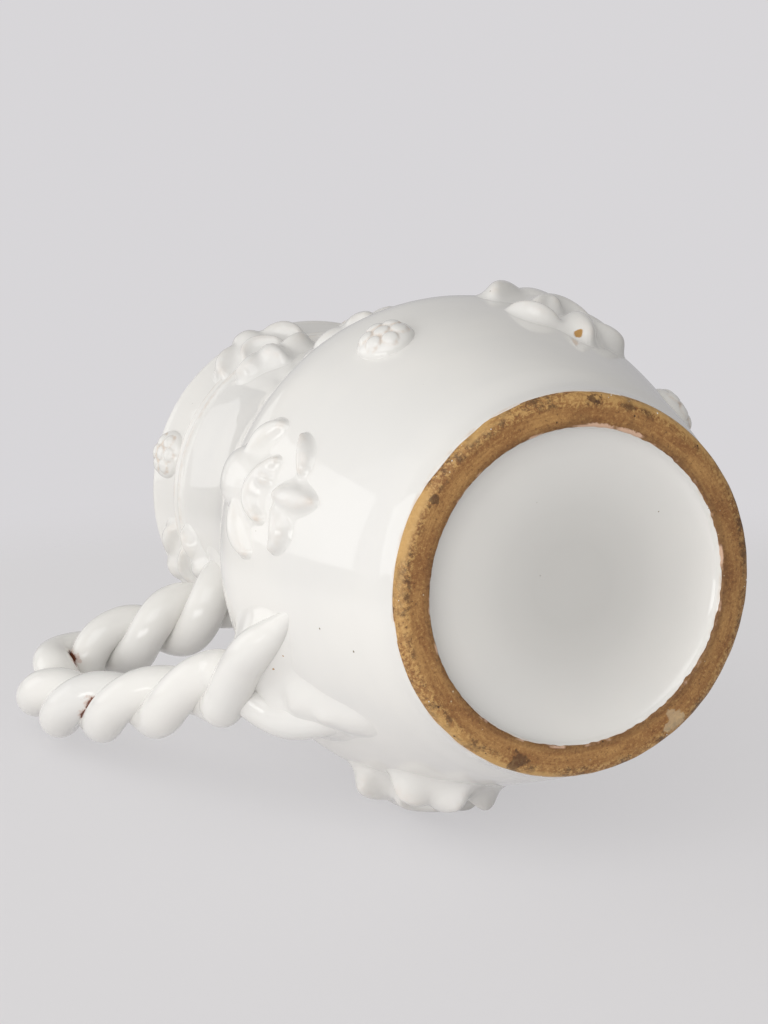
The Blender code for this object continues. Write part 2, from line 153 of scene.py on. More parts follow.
class Bench:
    """Adds nodes to one tree and joins their sockets."""

    def __init__(self, tree: bpy.types.NodeTree) -> None:
        """Keeps the shader or geometry tree that is worked on."""
        self.tree = tree

    def add(self, kind: str, **settings: object) -> bpy.types.Node:
        """Makes one node.

        Args:
            kind: the node's type name.
            settings: properties of the node.

        Returns:
            The new node.
        """
        node = self.tree.nodes.new(kind)
        for name, value in settings.items():
            setattr(node, name, value)
        return node

    def feed(self, socket: bpy.types.NodeSocket, source: object) -> None:
        """Joins a socket to an output, or sets it to a constant.

        Args:
            socket: the input.
            source: an output socket or a plain value.
        """
        if isinstance(source, bpy.types.NodeSocket):
            self.tree.links.new(source, socket)
        else:
            socket.default_value = source

    def make(self, kind: str, feeds: dict[str, object], **settings: object) -> bpy.types.Node:
        """Makes one node and feeds its live inputs by name.

        Args:
            kind: the node's type name.
            feeds: input name to output socket or constant.
            settings: properties of the node.

        Returns:
            The new node.
        """
        node = self.add(kind, **settings)
        sockets = {socket.name: socket for socket in live(node.inputs)}
        for name, source in feeds.items():
            self.feed(sockets[name], source)
        return node

    def step(self, kind: str, sources: tuple[object, ...], **settings: object) -> bpy.types.NodeSocket:
        """Makes one node and feeds its live inputs in order.

        Args:
            kind: the node's type name.
            sources: an output socket or constant for each live input.
            settings: properties of the node.

        Returns:
            The node's first live output.
        """
        node = self.add(kind, **settings)
        for socket, source in zip(live(node.inputs), sources, strict=True):
            self.feed(socket, source)
        return live(node.outputs)[0]

    def math(self, operation: str, *sources: object) -> bpy.types.NodeSocket:
        """One step of arithmetic."""
        return self.step("ShaderNodeMath", sources, operation=operation)

    def vector(self, operation: str, *sources: object) -> bpy.types.NodeSocket:
        """One step of vector arithmetic, whose result is a vector or a number."""
        return self.step("ShaderNodeVectorMath", sources, operation=operation)

    def mix(self, factor: object, first: object, second: object) -> bpy.types.NodeSocket:
        """Blends two colours by the share of the second one."""
        return self.step("ShaderNodeMix", (factor, first, second), data_type="RGBA")

    def tint(self, mask: object, share: object, first: object, second: object) -> bpy.types.NodeSocket:
        """Blends a share of a second colour into the first one where a mask is 1."""
        return self.mix(self.math("MULTIPLY", mask, share), first, second)

    def blend(self, factor: object, first: object, second: object) -> bpy.types.NodeSocket:
        """Blends two shaders by the share of the second one."""
        return self.step("ShaderNodeMixShader", (factor, first, second))

    def coordinates(self, kind: str = "Object") -> bpy.types.NodeSocket:
        """The piece's own coordinates, or another kind of them."""
        return self.add("ShaderNodeTexCoord").outputs[kind]

    def layer(self, name: Layer) -> bpy.types.NodeSocket:
        """Reads a point attribute in a shader."""
        return self.add("ShaderNodeAttribute", attribute_name=name.value).outputs["Fac"]

    def spread(
        self, value: object, low: float, high: float, first: float = 0.0, last: float = 1.0
    ) -> bpy.types.NodeSocket:
        """Eases a value from the range low to high into the range first to last."""
        feeds = {"Value": value, "From Min": low, "From Max": high, "To Min": first, "To Max": last}
        return self.make("ShaderNodeMapRange", feeds, interpolation_type="SMOOTHSTEP").outputs[0]

    def noise(
        self, where: object, scale: float, detail: float = 2.0, roughness: float = 0.5
    ) -> bpy.types.NodeSocket:
        """Soft noise, of scale cells to the unit and detail finer layers with a given roughness."""
        feeds = {"Vector": where, "Scale": scale, "Detail": detail, "Roughness": roughness}
        return self.make("ShaderNodeTexNoise", feeds).outputs[0]

    def round_top(self, value: object) -> bpy.types.NodeSocket:
        """Falls like a dome from 1 where a value is 0 to 0 where it is 1, and stays there."""
        return self.math("SQRT", self.math("MAXIMUM", self.math("SUBTRACT", 1.0, value), 0.0))

    def bump(self, height: object, strength: float, distance: float) -> bpy.types.NodeSocket:
        """Normals that a height field makes uneven."""
        feeds = {"Height": height, "Strength": strength, "Distance": distance}
        return self.make("ShaderNodeBump", feeds).outputs[0]

    def blot(self, where: object, mark: Mark, ragged: float = 0.5) -> bpy.types.NodeSocket:
        """A ragged round mark at one place.

        Args:
            where: the coordinate socket.
            mark: its middle and radius.
            ragged: how far its edge wanders, as a share of the radius.

        Returns:
            A mask, 1 in the mark.
        """
        wander = self.math("SUBTRACT", self.noise(where, 0.9 / mark.radius, 3.0, 0.6), 0.5)
        reach = self.vector("DISTANCE", where, mark.place)
        edge = self.math("MULTIPLY_ADD", wander, mark.radius * ragged * 2.0, reach)
        return self.spread(edge, mark.radius, mark.radius * 0.7)

    def streak(self, where: object, line: Line, ragged: float, swollen: float = 1.0) -> bpy.types.NodeSocket:
        """A ragged mark drawn along a straight line, thinning to both ends.

        Args:
            where: the coordinate socket.
            line: its ends and half width.
            ragged: how far its edge wanders, as a share of the half width.
            swollen: factor on the half width.

        Returns:
            A mask, 1 in the mark.
        """
        run = line.end - line.start
        offset = self.vector("SUBTRACT", where, line.start)
        along = self.vector("DOT_PRODUCT", offset, run / run.length_squared)
        along = self.math("MINIMUM", self.math("MAXIMUM", along, 0.0), 1.0)
        reach = self.vector("DISTANCE", offset, self.vector("MULTIPLY", along, run))
        half = line.half * swollen
        wander = self.math("SUBTRACT", self.noise(where, 0.7 / line.half, 4.0, 0.7), 0.5)
        ends = self.math("ABSOLUTE", self.math("MULTIPLY_ADD", along, 2.0, -1.0))
        edge = self.math("MULTIPLY_ADD", wander, half * ragged * 2.0, reach)
        edge = self.math("MULTIPLY_ADD", self.math("POWER", ends, 3.0), half * 0.7, edge)
        return self.spread(edge, half, half * 0.55)

    def specks(self, where: object, scale: float, size: float, share: float) -> bpy.types.NodeSocket:
        """Scattered round specks.

        Args:
            where: the coordinate socket.
            scale: cells per metre, one possible speck in each.
            size: radius of a speck in cells.
            share: share of the cells that have one.

        Returns:
            A mask, 1 in the specks.
        """
        cells = self.make("ShaderNodeTexVoronoi", {"Vector": where, "Scale": scale})
        lot = self.make("ShaderNodeSeparateColor", {"Color": cells.outputs["Color"]})
        kept = self.math("LESS_THAN", lot.outputs[0], share)
        grown = self.math("MULTIPLY_ADD", lot.outputs[1], size, size * 0.4)
        inside = self.math("SUBTRACT", 1.0, self.math("DIVIDE", cells.outputs["Distance"], grown))
        return self.math("MULTIPLY", kept, self.spread(inside, 0.0, 0.5))

    def direct_view(self) -> bpy.types.NodeSocket:
        """Tells rays that show a surface, straight or in a reflection, from rays that carry its light.

        Returns:
            1 for a camera, glossy or transmitted ray.
        """
        path = self.add("ShaderNodeLightPath").outputs
        mirrored = self.math("MAXIMUM", path["Is Glossy Ray"], path["Is Transmission Ray"])
        return self.math("MAXIMUM", path["Is Camera Ray"], mirrored)


def blank_material(name: str) -> tuple[Bench, bpy.types.Node, bpy.types.Material]:
    """Starts a material with one Principled shader.

    Args:
        name: the material's name.

    Returns:
        The bench for its tree, the shader node and the material.
    """
    material = bpy.data.materials.new(name)
    material.use_nodes = True
    return Bench(material.node_tree), material.node_tree.nodes["Principled BSDF"], material


@dataclass(frozen=True)
class TinGlaze:
    """Opaque white glaze that breaks to a warm tint where it is thin.

    Scars are bare clay in a crevice, chips bare clay anywhere, and pits single pinholes.
    """

    white: Colour = (0.815, 0.80, 0.765, 1.0)
    clouded: Colour = (0.775, 0.765, 0.74, 1.0)
    # Painted shade: a grey that darkens the middle of the hollow under the base.
    pooled: Colour = (0.63, 0.62, 0.595, 1.0)
    thin: Colour = (0.62, 0.47, 0.35, 1.0)
    pinhole: Colour = (0.22, 0.17, 0.12, 1.0)
    flush: Colour = (0.55, 0.33, 0.24, 1.0)
    bare: Colour = (0.17, 0.055, 0.03, 1.0)
    chipped: Colour = (0.48, 0.27, 0.09, 1.0)
    gloss: float = 0.02
    dull: float = 0.07
    refraction: float = 1.5
    scars: tuple[Line, ...] = ()
    chips: tuple[Mark, ...] = ()
    pits: tuple[Mark, ...] = ()

    def material(self, name: str) -> bpy.types.Material:
        """Builds the glaze.

        Args:
            name: the material's name.

        Returns:
            The material.
        """
        bench, shader, material = blank_material(name)
        where = bench.coordinates()
        clouds = bench.spread(bench.noise(where, 17.0, 3.0), 0.38, 0.66)
        colour = bench.mix(clouds, self.white, self.clouded)
        # Painted shade from the point layer, greying the middle of the hollow under the base.
        colour = bench.mix(bench.layer(Layer.POOLED), colour, self.pooled)
        breakup = bench.spread(bench.noise(where, 210.0, 3.0, 0.6), 0.30, 0.75)
        worn = bench.math("MULTIPLY", bench.layer(Layer.THIN), breakup)
        colour = bench.tint(worn, 0.75, colour, self.thin)
        colour, holes = self.flaws(bench, where, colour)
        bench.feed(shader.inputs["Base Color"], colour)
        sheen = bench.noise(where, 34.0, 4.0)
        bench.feed(shader.inputs["Roughness"], bench.spread(sheen, 0.3, 0.75, self.gloss, self.dull))
        shader.inputs["IOR"].default_value = self.refraction
        bench.feed(shader.inputs["Normal"], self.relief(bench, where, holes))
        return material

    def flaws(
        self, bench: Bench, where: object, colour: object
    ) -> tuple[bpy.types.NodeSocket, bpy.types.NodeSocket]:
        """Adds pinholes, chips and scars.

        Args:
            bench: the material's bench.
            where: object coordinates.
            colour: the sound glaze.

        Returns:
            The flawed colour, and a mask of the holes.
        """
        holes = bench.specks(where, 210.0, 0.045, 0.16)
        for pit in self.pits:
            holes = bench.math("MAXIMUM", holes, bench.blot(where, pit, 0.2))
        colour = bench.mix(holes, colour, self.pinhole)
        for chip in self.chips:
            broken = bench.blot(where, chip)
            colour = bench.mix(broken, colour, self.chipped)
            holes = bench.math("MAXIMUM", holes, broken)
        for scar in self.scars:
            colour = bench.tint(bench.streak(where, scar, 1.1, 1.9), 0.45, colour, self.flush)
            colour = bench.mix(bench.streak(where, scar, 0.8), colour, self.bare)
        return colour, holes

    def relief(self, bench: Bench, where: object, holes: object) -> bpy.types.NodeSocket:
        """Adds the slow waves of a thrown wall, the glaze's fine skin and its pits.

        Args:
            bench: the material's bench.
            where: object coordinates.
            holes: mask of the holes.

        Returns:
            The uneven normals.
        """
        turning = bench.noise(bench.vector("MULTIPLY", where, (9.0, 9.0, 70.0)), 1.0, 1.0)
        height = bench.math("MULTIPLY_ADD", bench.noise(where, 260.0, 2.0), 0.10, turning)
        height = bench.math("MULTIPLY_ADD", holes, -0.6, height)
        return bench.bump(height, 0.24, 0.0006)


@dataclass(frozen=True)
class RingSpace:
    """Sockets that the clay's layers share.

    They are the place, the place seen from the axis, the distance from the axis, coordinates that run
    round with the turning, and fine turning lines.
    """

    where: bpy.types.NodeSocket
    centred: bpy.types.NodeSocket
    reach: bpy.types.NodeSocket
    around: bpy.types.NodeSocket
    turned: bpy.types.NodeSocket


@dataclass(frozen=True)
class RawClay:
    """Unglazed earthenware of the foot, wiped smooth inside and spotted outside.

    The axis and both radii are in metres.
    """

    axis: float
    inner: float
    outer: float
    wiped: Colour = (0.275, 0.118, 0.034, 1.0)
    pale: Colour = (0.46, 0.245, 0.08, 1.0)
    golden: Colour = (0.60, 0.36, 0.125, 1.0)
    # Dark brown of burns, pits and scorched grain, also used for painted shade.
    scorch_and_painted_shade: Colour = (0.085, 0.038, 0.014, 1.0)
    rim_tint: Colour = (0.66, 0.43, 0.30, 1.0)
    crumb: Colour = (0.66, 0.52, 0.33, 1.0)
    burns: tuple[Mark, ...] = ()
    bleached: tuple[Mark, ...] = ()
    flakes: tuple[Mark, ...] = ()
    gilded: tuple[Mark, ...] = ()

    def material(self, name: str) -> bpy.types.Material:
        """Builds the clay.

        Args:
            name: the material's name.

        Returns:
            The material.
        """
        bench, shader, material = blank_material(name)
        space = self.space(bench)
        spots = bench.spread(bench.noise(space.where, 900.0, 3.0, 0.7), 0.45, 0.60)
        colour = self.outer_side(bench, space, spots, self.wiped_face(bench, space))
        colour = self.borders(bench, space, colour)
        crumbs = bench.specks(space.where, 520.0, 0.12, 0.10)
        colour = bench.mix(crumbs, colour, self.crumb)
        colour = self.marks(bench, space, colour)
        pits = bench.specks(space.where, 380.0, 0.13, 0.12)
        colour = bench.mix(pits, colour, self.scorch_and_painted_shade)
        bench.feed(shader.inputs["Base Color"], colour)
        bench.feed(shader.inputs["Roughness"], bench.spread(spots, 0.0, 1.0, 0.62, 0.42))
        grain = bench.noise(space.where, 900.0, 3.0, 0.6)
        height = bench.math("MULTIPLY_ADD", space.turned, 0.4, grain)
        height = bench.math("MULTIPLY_ADD", crumbs, 1.2, height)
        height = bench.math("MULTIPLY_ADD", pits, -1.2, height)
        bench.feed(shader.inputs["Normal"], bench.bump(height, 0.55, 0.0003))
        return material

    def space(self, bench: Bench) -> RingSpace:
        """Works out where a point of the ring is.

        Args:
            bench: the material's bench.

        Returns:
            The sockets that the layers share.
        """
        where = bench.coordinates()
        centred = bench.vector("SUBTRACT", where, (self.axis, 0.0, 0.0))
        reach = bench.vector("LENGTH", bench.vector("MULTIPLY", centred, (1.0, 1.0, 0.0)))
        parts = bench.make("ShaderNodeSeparateXYZ", {"Vector": centred})
        angle = bench.math("ARCTAN2", parts.outputs[1], parts.outputs[0])
        feeds = {"X": bench.math("MULTIPLY", reach, 1500.0), "Y": bench.math("MULTIPLY", angle, 2.5)}
        around = bench.make("ShaderNodeCombineXYZ", feeds).outputs[0]
        return RingSpace(where, centred, reach, around, bench.noise(around, 1.0, 2.0))

    def wiped_face(self, bench: Bench, space: RingSpace) -> bpy.types.NodeSocket:
        """Brushed and sanded clay of the standing face, with stains.

        Args:
            bench: the material's bench.
            space: the shared sockets.

        Returns:
            The colour.
        """
        sand = bench.noise(space.where, 1000.0, 4.0, 0.8)
        drift = bench.noise(bench.vector("MULTIPLY", space.around, (0.16, 1.4, 1.0)), 1.0, 4.0, 0.65)
        brushed = bench.math("MULTIPLY_ADD", space.turned, 0.30, bench.math("MULTIPLY", drift, 0.80))
        colour = bench.mix(bench.spread(brushed, 0.40, 0.76), self.wiped, self.pale)
        colour = bench.tint(bench.spread(sand, 0.50, 0.70), 0.75, colour, self.golden)
        colour = bench.tint(bench.spread(sand, 0.47, 0.29), 0.85, colour, self.scorch_and_painted_shade)
        shade = bench.spread(space.reach, self.inner + 0.0030, self.inner + 0.0006, 0.0, 0.38)
        colour = bench.mix(shade, colour, self.scorch_and_painted_shade)
        stains = bench.spread(bench.noise(space.where, 46.0, 3.0, 0.6), 0.56, 0.74)
        return bench.tint(stains, 0.5, colour, self.scorch_and_painted_shade)

    def outer_side(self, bench: Bench, space: RingSpace, spots: object, face: object) -> bpy.types.NodeSocket:
        """Spotted and burnt clay of the outer rounding, and painted shade on one side.

        Args:
            bench: the material's bench.
            space: the shared sockets.
            spots: mask of the golden spots.
            face: colour of the standing face.

        Returns:
            The colour of both, with a ragged line between them.
        """
        spotted = bench.tint(spots, 0.78, face, self.golden)
        burnt = bench.spread(bench.noise(space.where, 120.0, 7.0, 0.85), 0.50, 0.60)
        spotted = bench.tint(burnt, 0.75, spotted, self.scorch_and_painted_shade)
        across = bench.spread(space.reach, self.inner, self.outer)
        slow = bench.math("MULTIPLY_ADD", bench.noise(space.where, 38.0, 2.0), 0.5, across)
        ragged = bench.math("MULTIPLY_ADD", bench.noise(space.where, 330.0, 3.0), 0.22, slow)
        colour = bench.mix(bench.spread(ragged, 0.92, 1.16), face, spotted)
        # Painted shade: the side of the ring turned from the lamps is darkened.
        painted_side_shade = bench.vector("DOT_PRODUCT", space.centred, (-0.87, -0.49, 0.0))
        return bench.mix(bench.spread(painted_side_shade, 0.020, 0.055, 0.0, 0.20), colour, self.scorch_and_painted_shade)

    def borders(self, bench: Bench, space: RingSpace, colour: object) -> bpy.types.NodeSocket:
        """Worn gold along the outer border and glaze tint along the inner one.

        Args:
            bench: the material's bench.
            space: the shared sockets.
            colour: the clay so far.

        Returns:
            The colour.
        """
        border = bench.spread(space.reach, self.outer - 0.0024, self.outer - 0.0012)
        patchy = bench.spread(bench.noise(space.where, 22.0, 5.0, 0.7), 0.46, 0.58)
        for mark in self.gilded:
            patchy = bench.math("MAXIMUM", patchy, bench.blot(space.where, mark, 0.3))
        colour = bench.tint(bench.math("MULTIPLY", border, patchy), 0.8, colour, self.golden)
        edge = bench.spread(space.reach, self.inner + 0.0009, self.inner + 0.0004)
        chipped = bench.spread(bench.noise(space.where, 160.0, 3.0), 0.54, 0.66)
        return bench.tint(edge, chipped, colour, self.rim_tint)

    def marks(self, bench: Bench, space: RingSpace, colour: object) -> bpy.types.NodeSocket:
        """Single burns and pale places, and flakes of glaze along the inner border.

        Args:
            bench: the material's bench.
            space: the shared sockets.
            colour: the clay so far.

        Returns:
            The colour.
        """
        kinds = ((self.burns, self.scorch_and_painted_shade, 0.75), (self.bleached, self.crumb, 0.50))
        for marks, tint, strength in kinds:
            for mark in marks:
                colour = bench.tint(bench.blot(space.where, mark, 1.5), strength, colour, tint)
        wander = bench.math("MULTIPLY_ADD", bench.noise(space.where, 450.0, 3.0, 0.7), 0.0024, space.reach)
        hugging = bench.spread(wander, self.inner + 0.0026, self.inner + 0.0020)
        for flake in self.flakes:
            colour = bench.tint(bench.blot(space.where, flake), hugging, colour, self.rim_tint)
        return colour


@dataclass(frozen=True)
class PaleFloor:
    """Pale grey floor that is seen only from above and fades out at its edge."""

    colour: Colour = (0.84, 0.83, 0.84, 1.0)
    seen: Colour = (0.692, 0.678, 0.688, 1.0)
    lift: float = 0.72
    full: float = 0.30
    gone: float = 0.46
    roughness: float = 0.9
    shine: float = 0.1

    def material(self, name: str) -> bpy.types.Material:
        """Builds the floor's material.

        Args:
            name: the material's name.

        Returns:
            The material.
        """
        bench, shader, material = blank_material(name)
        shader.inputs["Base Color"].default_value = self.colour
        shader.inputs["Roughness"].default_value = self.roughness
        shader.inputs["Specular IOR Level"].default_value = self.shine
        glow = bench.make("ShaderNodeEmission", {"Color": self.seen, "Strength": 1.0}).outputs[0]
        lifted = bench.math("MULTIPLY", bench.direct_view(), self.lift)
        paper = bench.blend(lifted, shader.outputs[0], glow)
        faded = bench.spread(bench.vector("LENGTH", bench.coordinates()), self.full, self.gone)
        back = bench.add("ShaderNodeNewGeometry").outputs["Backfacing"]
        clear = bench.add("ShaderNodeBsdfTransparent").outputs[0]
        surface = bench.blend(bench.math("MAXIMUM", faded, back), paper, clear)
        bench.feed(material.node_tree.nodes["Material Output"].inputs["Surface"], surface)
        return material


@dataclass(frozen=True)
class Wall:
    """The thrown wall that everything sits on.

    Heights and radii are in millimetres, angles in radians from the handle. The profile gives a height
    and a radius at each knot.
    """

    axis: float
    profile: tuple[Pair, ...] = (
        (0, 54.6), (5, 55.4), (10, 56.6), (19, 60.4), (44, 68.7), (69, 76.0), (88, 78.4),
        (107, 73.8), (126, 66.8), (146, 60.2), (168, 55.4), (192, 55.2), (217, 58.6), (237, 63.4),
    )
    height: float = 237.0
    lip_reach: float = 11.0
    lip_start: float = 196.0
    lip_half_angle: float = math.radians(20.0)
    top_margin: float = 0.5

    def radius(self, height: np.ndarray) -> np.ndarray:
        """Radius of the outside, without the lip.

        Args:
            height: heights in mm.

        Returns:
            Radii in mm.
        """
        knots, values = np.array(self.profile, float).T
        slopes = np.gradient(values, knots)
        slopes[1:-1] = (values[2:] - values[:-2]) / (knots[2:] - knots[:-2])
        level = np.clip(np.asarray(height, float), knots[0], knots[-1])
        place = np.clip(np.searchsorted(knots, level, side="right") - 1, 0, len(knots) - 2)
        step = knots[place + 1] - knots[place]
        u = (level - knots[place]) / step
        start = (1 + 2 * u) * (1 - u) ** 2 * values[place] + u * (1 - u) ** 2 * step * slopes[place]
        end = u * u * (3 - 2 * u) * values[place + 1] - u * u * (1 - u) * step * slopes[place + 1]
        return start + end

    def slope(self, height: np.ndarray) -> np.ndarray:
        """Change of radius over the millimetre round a height."""
        return self.radius(np.asarray(height) + 0.5) - self.radius(np.asarray(height) - 0.5)

    def lip(self, angle: np.ndarray, height: np.ndarray) -> np.ndarray:
        """How far the pouring lip is pulled out.

        Args:
            angle: angles from the handle.
            height: heights in mm.

        Returns:
            Distances in mm.
        """
        turn = np.angle(np.exp(1j * (np.asarray(angle) - math.pi)))
        rise = smoothstep(np.asarray(height, float), self.lip_start, self.height) ** 1.5
        return self.lip_reach * hump(turn, 0.0, self.lip_half_angle) * rise

    def turned(self, angle: np.ndarray, radius: np.ndarray, level: np.ndarray) -> np.ndarray:
        """Points round the axis, in metres in the row frame."""
        return np.stack([radius * np.cos(angle) + self.axis, radius * np.sin(angle), level], -1) * MM

    def point(self, angle: np.ndarray, height: np.ndarray, lift: np.ndarray) -> np.ndarray:
        """Points over the wall, in metres in the row frame.

        Args:
            angle: angles from the handle.
            height: heights in mm where the points stand on the wall.
            lift: distance off the wall in mm.

        Returns:
            An array with x, y and z in its last place.
        """
        slope = self.slope(height)
        lean = np.sqrt(1.0 + slope * slope)
        radius = self.radius(height) + self.lip(angle, height) + lift / lean
        return self.turned(angle, radius, height - lift * slope / lean)

    def course(self) -> tuple[np.ndarray, np.ndarray]:
        """Measures the way up the wall.

        Returns:
            Heights, and the length of the wall up to each of them, in mm.
        """
        levels = np.linspace(0.0, self.height, 476)
        steps = np.hypot(np.diff(levels), np.diff(self.radius(levels)))
        return levels, np.concatenate([[0.0], np.cumsum(steps)])

    def drape(self, turn: float, height: float, flat: Flat) -> np.ndarray:
        """Bends a flat piece onto the wall.

        Args:
            turn: angle of the piece's middle.
            height: height of its middle in mm.
            flat: distances round the wall, up it and off it, in mm.

        Returns:
            Points in metres in the row frame.
        """
        across, up, lift = flat
        levels, lengths = self.course()
        level = np.interp(np.interp(height, levels, lengths) + up, lengths, levels)
        level = np.minimum(level, self.height - self.top_margin)
        return self.point(turn + across / self.radius(height), level, lift)


def link_object(name: str, data: bpy.types.ID) -> bpy.types.Object:
    """Makes an object and links it to the scene.

    Args:
        name: the object's name.
        data: its mesh, curve, lamp or camera.

    Returns:
        The object.
    """
    made = bpy.data.objects.new(name, data)
    bpy.context.scene.collection.objects.link(made)
    return made


def new_object(name: str, mesh: bpy.types.Mesh, finish: bpy.types.Material) -> bpy.types.Object:
    """Makes a mesh object with one finish.

    Args:
        name: the object's name.
        mesh: its mesh.
        finish: its material.

    Returns:
        The object.
    """
    mesh.materials.clear()
    mesh.materials.append(finish)
    return link_object(name, mesh)


def new_piece(
    name: str, mesh: bpy.types.Mesh, finish: bpy.types.Material, slot: Slot, *nodes: str
) -> bpy.types.Object:
    """Makes a piece, ties it to the root body and hides the solids it stands for.

    Args:
        name: the piece's name.
        mesh: its mesh.
        finish: its material.
        slot: its material slot, not used.
        nodes: solids that it replaces.

    Returns:
        The piece.
    """
    piece = new_object(name, mesh, finish)
    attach(piece, Body.ROOT.value)
    if nodes:
        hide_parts(*nodes)
    return piece


def store(mesh: bpy.types.Mesh, layer: Layer, values: np.ndarray) -> None:
    """Writes a point attribute, with one number for each vertex."""
    attribute = mesh.attributes.new(layer.value, "FLOAT", "POINT")
    attribute.data.foreach_set("value", np.asarray(values, np.float32))


def corners(mesh: bpy.types.Mesh) -> np.ndarray:
    """Reads a mesh's vertices.

    Args:
        mesh: the mesh.

    Returns:
        An array of positions.
    """
    flat = np.empty(len(mesh.vertices) * 3)
    mesh.vertices.foreach_get("co", flat)
    return flat.reshape(-1, 3)


def tidy_mesh(mesh: bpy.types.Mesh) -> None:
    """Drops collapsed faces and turns the rest outwards.

    Args:
        mesh: a closed mesh.
    """
    work = bmesh.new()
    work.from_mesh(mesh)
    bmesh.ops.dissolve_degenerate(work, dist=1e-7, edges=work.edges)
    bmesh.ops.recalc_face_normals(work, faces=work.faces)
    work.to_mesh(mesh)
    work.free()


def close_back(mesh: bpy.types.Mesh, wall: Wall, depth: float = 1.2) -> None:
    """Fills the back of a patch, which lies inside the wall.

    Args:
        mesh: the open patch.
        wall: the wall that it sits on.
        depth: how far its skirt runs into the wall, in mm.
    """
    work = bmesh.new()
    work.from_mesh(mesh)
    border = [edge for edge in work.edges if edge.is_boundary]
    skirt = bmesh.ops.extrude_edge_only(work, edges=border)["geom"]
    for vert in skirt:
        if isinstance(vert, bmesh.types.BMVert):
            inward = Vector((wall.axis * MM - vert.co.x, -vert.co.y, 0.0)).normalized()
            vert.co += inward * (depth * MM)
    bmesh.ops.holes_fill(work, edges=[edge for edge in work.edges if edge.is_boundary], sides=0)
    bmesh.ops.triangulate(work, faces=[face for face in work.faces if len(face.verts) > 4])
    bmesh.ops.recalc_face_normals(work, faces=work.faces)
    for face in work.faces:
        face.smooth = True
    work.to_mesh(mesh)
    work.free()


class GrowTree:
    """A geometry tree on one object, and the plain mesh that it leaves."""

    def __init__(self, name: str) -> None:
        """Starts the tree.

        Args:
            name: name of the node group.
        """
        self.group = bpy.data.node_groups.new(name, "GeometryNodeTree")
        for side in ("INPUT", "OUTPUT"):
            self.group.interface.new_socket("Geometry", in_out=side, socket_type="NodeSocketGeometry")
        self.bench = Bench(self.group)
        self.inputs = self.bench.add("NodeGroupInput")
        self.values: dict[str, object] = {}

    def seed(self) -> bpy.types.NodeSocket:
        """The geometry that the tree starts from."""
        return self.inputs.outputs["Geometry"]

    def take(self, name: str, kind: str, value: object) -> bpy.types.NodeSocket:
        """Adds a named input with its value.

        Args:
            name: the input's name.
            kind: Float, Int, Vector or Material.
            value: what the modifier sets it to.

        Returns:
            The socket to read it from.
        """
        made = self.group.interface.new_socket(name, in_out="INPUT", socket_type=f"NodeSocket{kind}")
        self.values[made.identifier] = value
        return self.inputs.outputs[name]

    def close(self, geometry: bpy.types.NodeSocket, finish: bpy.types.NodeSocket) -> None:
        """Ends the tree with real, smooth, finished geometry.

        Args:
            geometry: what the tree has made.
            finish: the material input.
        """
        bench = self.bench
        real = bench.make("GeometryNodeRealizeInstances", {"Geometry": geometry})
        smooth = bench.make("GeometryNodeSetShadeSmooth", {"Geometry": real.outputs[0]})
        dressed = bench.make("GeometryNodeSetMaterial", {"Geometry": smooth.outputs[0], "Material": finish})
        end = bench.add("NodeGroupOutput")
        bench.feed(end.inputs[0], dressed.outputs[0])

    def grow(self, seed: bpy.types.Object, name: str) -> bpy.types.Mesh:
        """Runs the tree on an object and keeps the result as a plain mesh.

        Args:
            seed: the curve or mesh object that the tree starts from. It is removed.
            name: name of the mesh.

        Returns:
            The mesh.
        """
        modifier = seed.modifiers.new("grow", "NODES")
        modifier.node_group = self.group
        for identifier, value in self.values.items():
            modifier[identifier] = value
        view = bpy.context.evaluated_depsgraph_get()
        shown = seed.evaluated_get(view)
        mesh = bpy.data.meshes.new_from_object(shown, preserve_all_data_layers=True, depsgraph=view)
        mesh.name = name
        seed.modifiers.remove(modifier)
        bpy.data.objects.remove(seed)
        return mesh


def curve_seed(name: str, points: np.ndarray, closed: bool = False) -> bpy.types.Object:
    """Makes a plain polyline for a geometry tree.

    Args:
        name: the object's name.
        points: its points in metres, with a radius in a fourth column where it has one.
        closed: whether the last point joins the first.

    Returns:
        The curve object.
    """
    curve = bpy.data.curves.new(name, "CURVE")
    curve.dimensions = "3D"
    spline = curve.splines.new("POLY")
    spline.points.add(len(points) - 1)
    spline.points.foreach_set("co", np.c_[points[:, :3], np.ones(len(points))].ravel())
    if points.shape[1] > 3:
        spline.points.foreach_set("radius", points[:, 3])
    spline.use_cyclic_u = closed
    return link_object(name, curve)


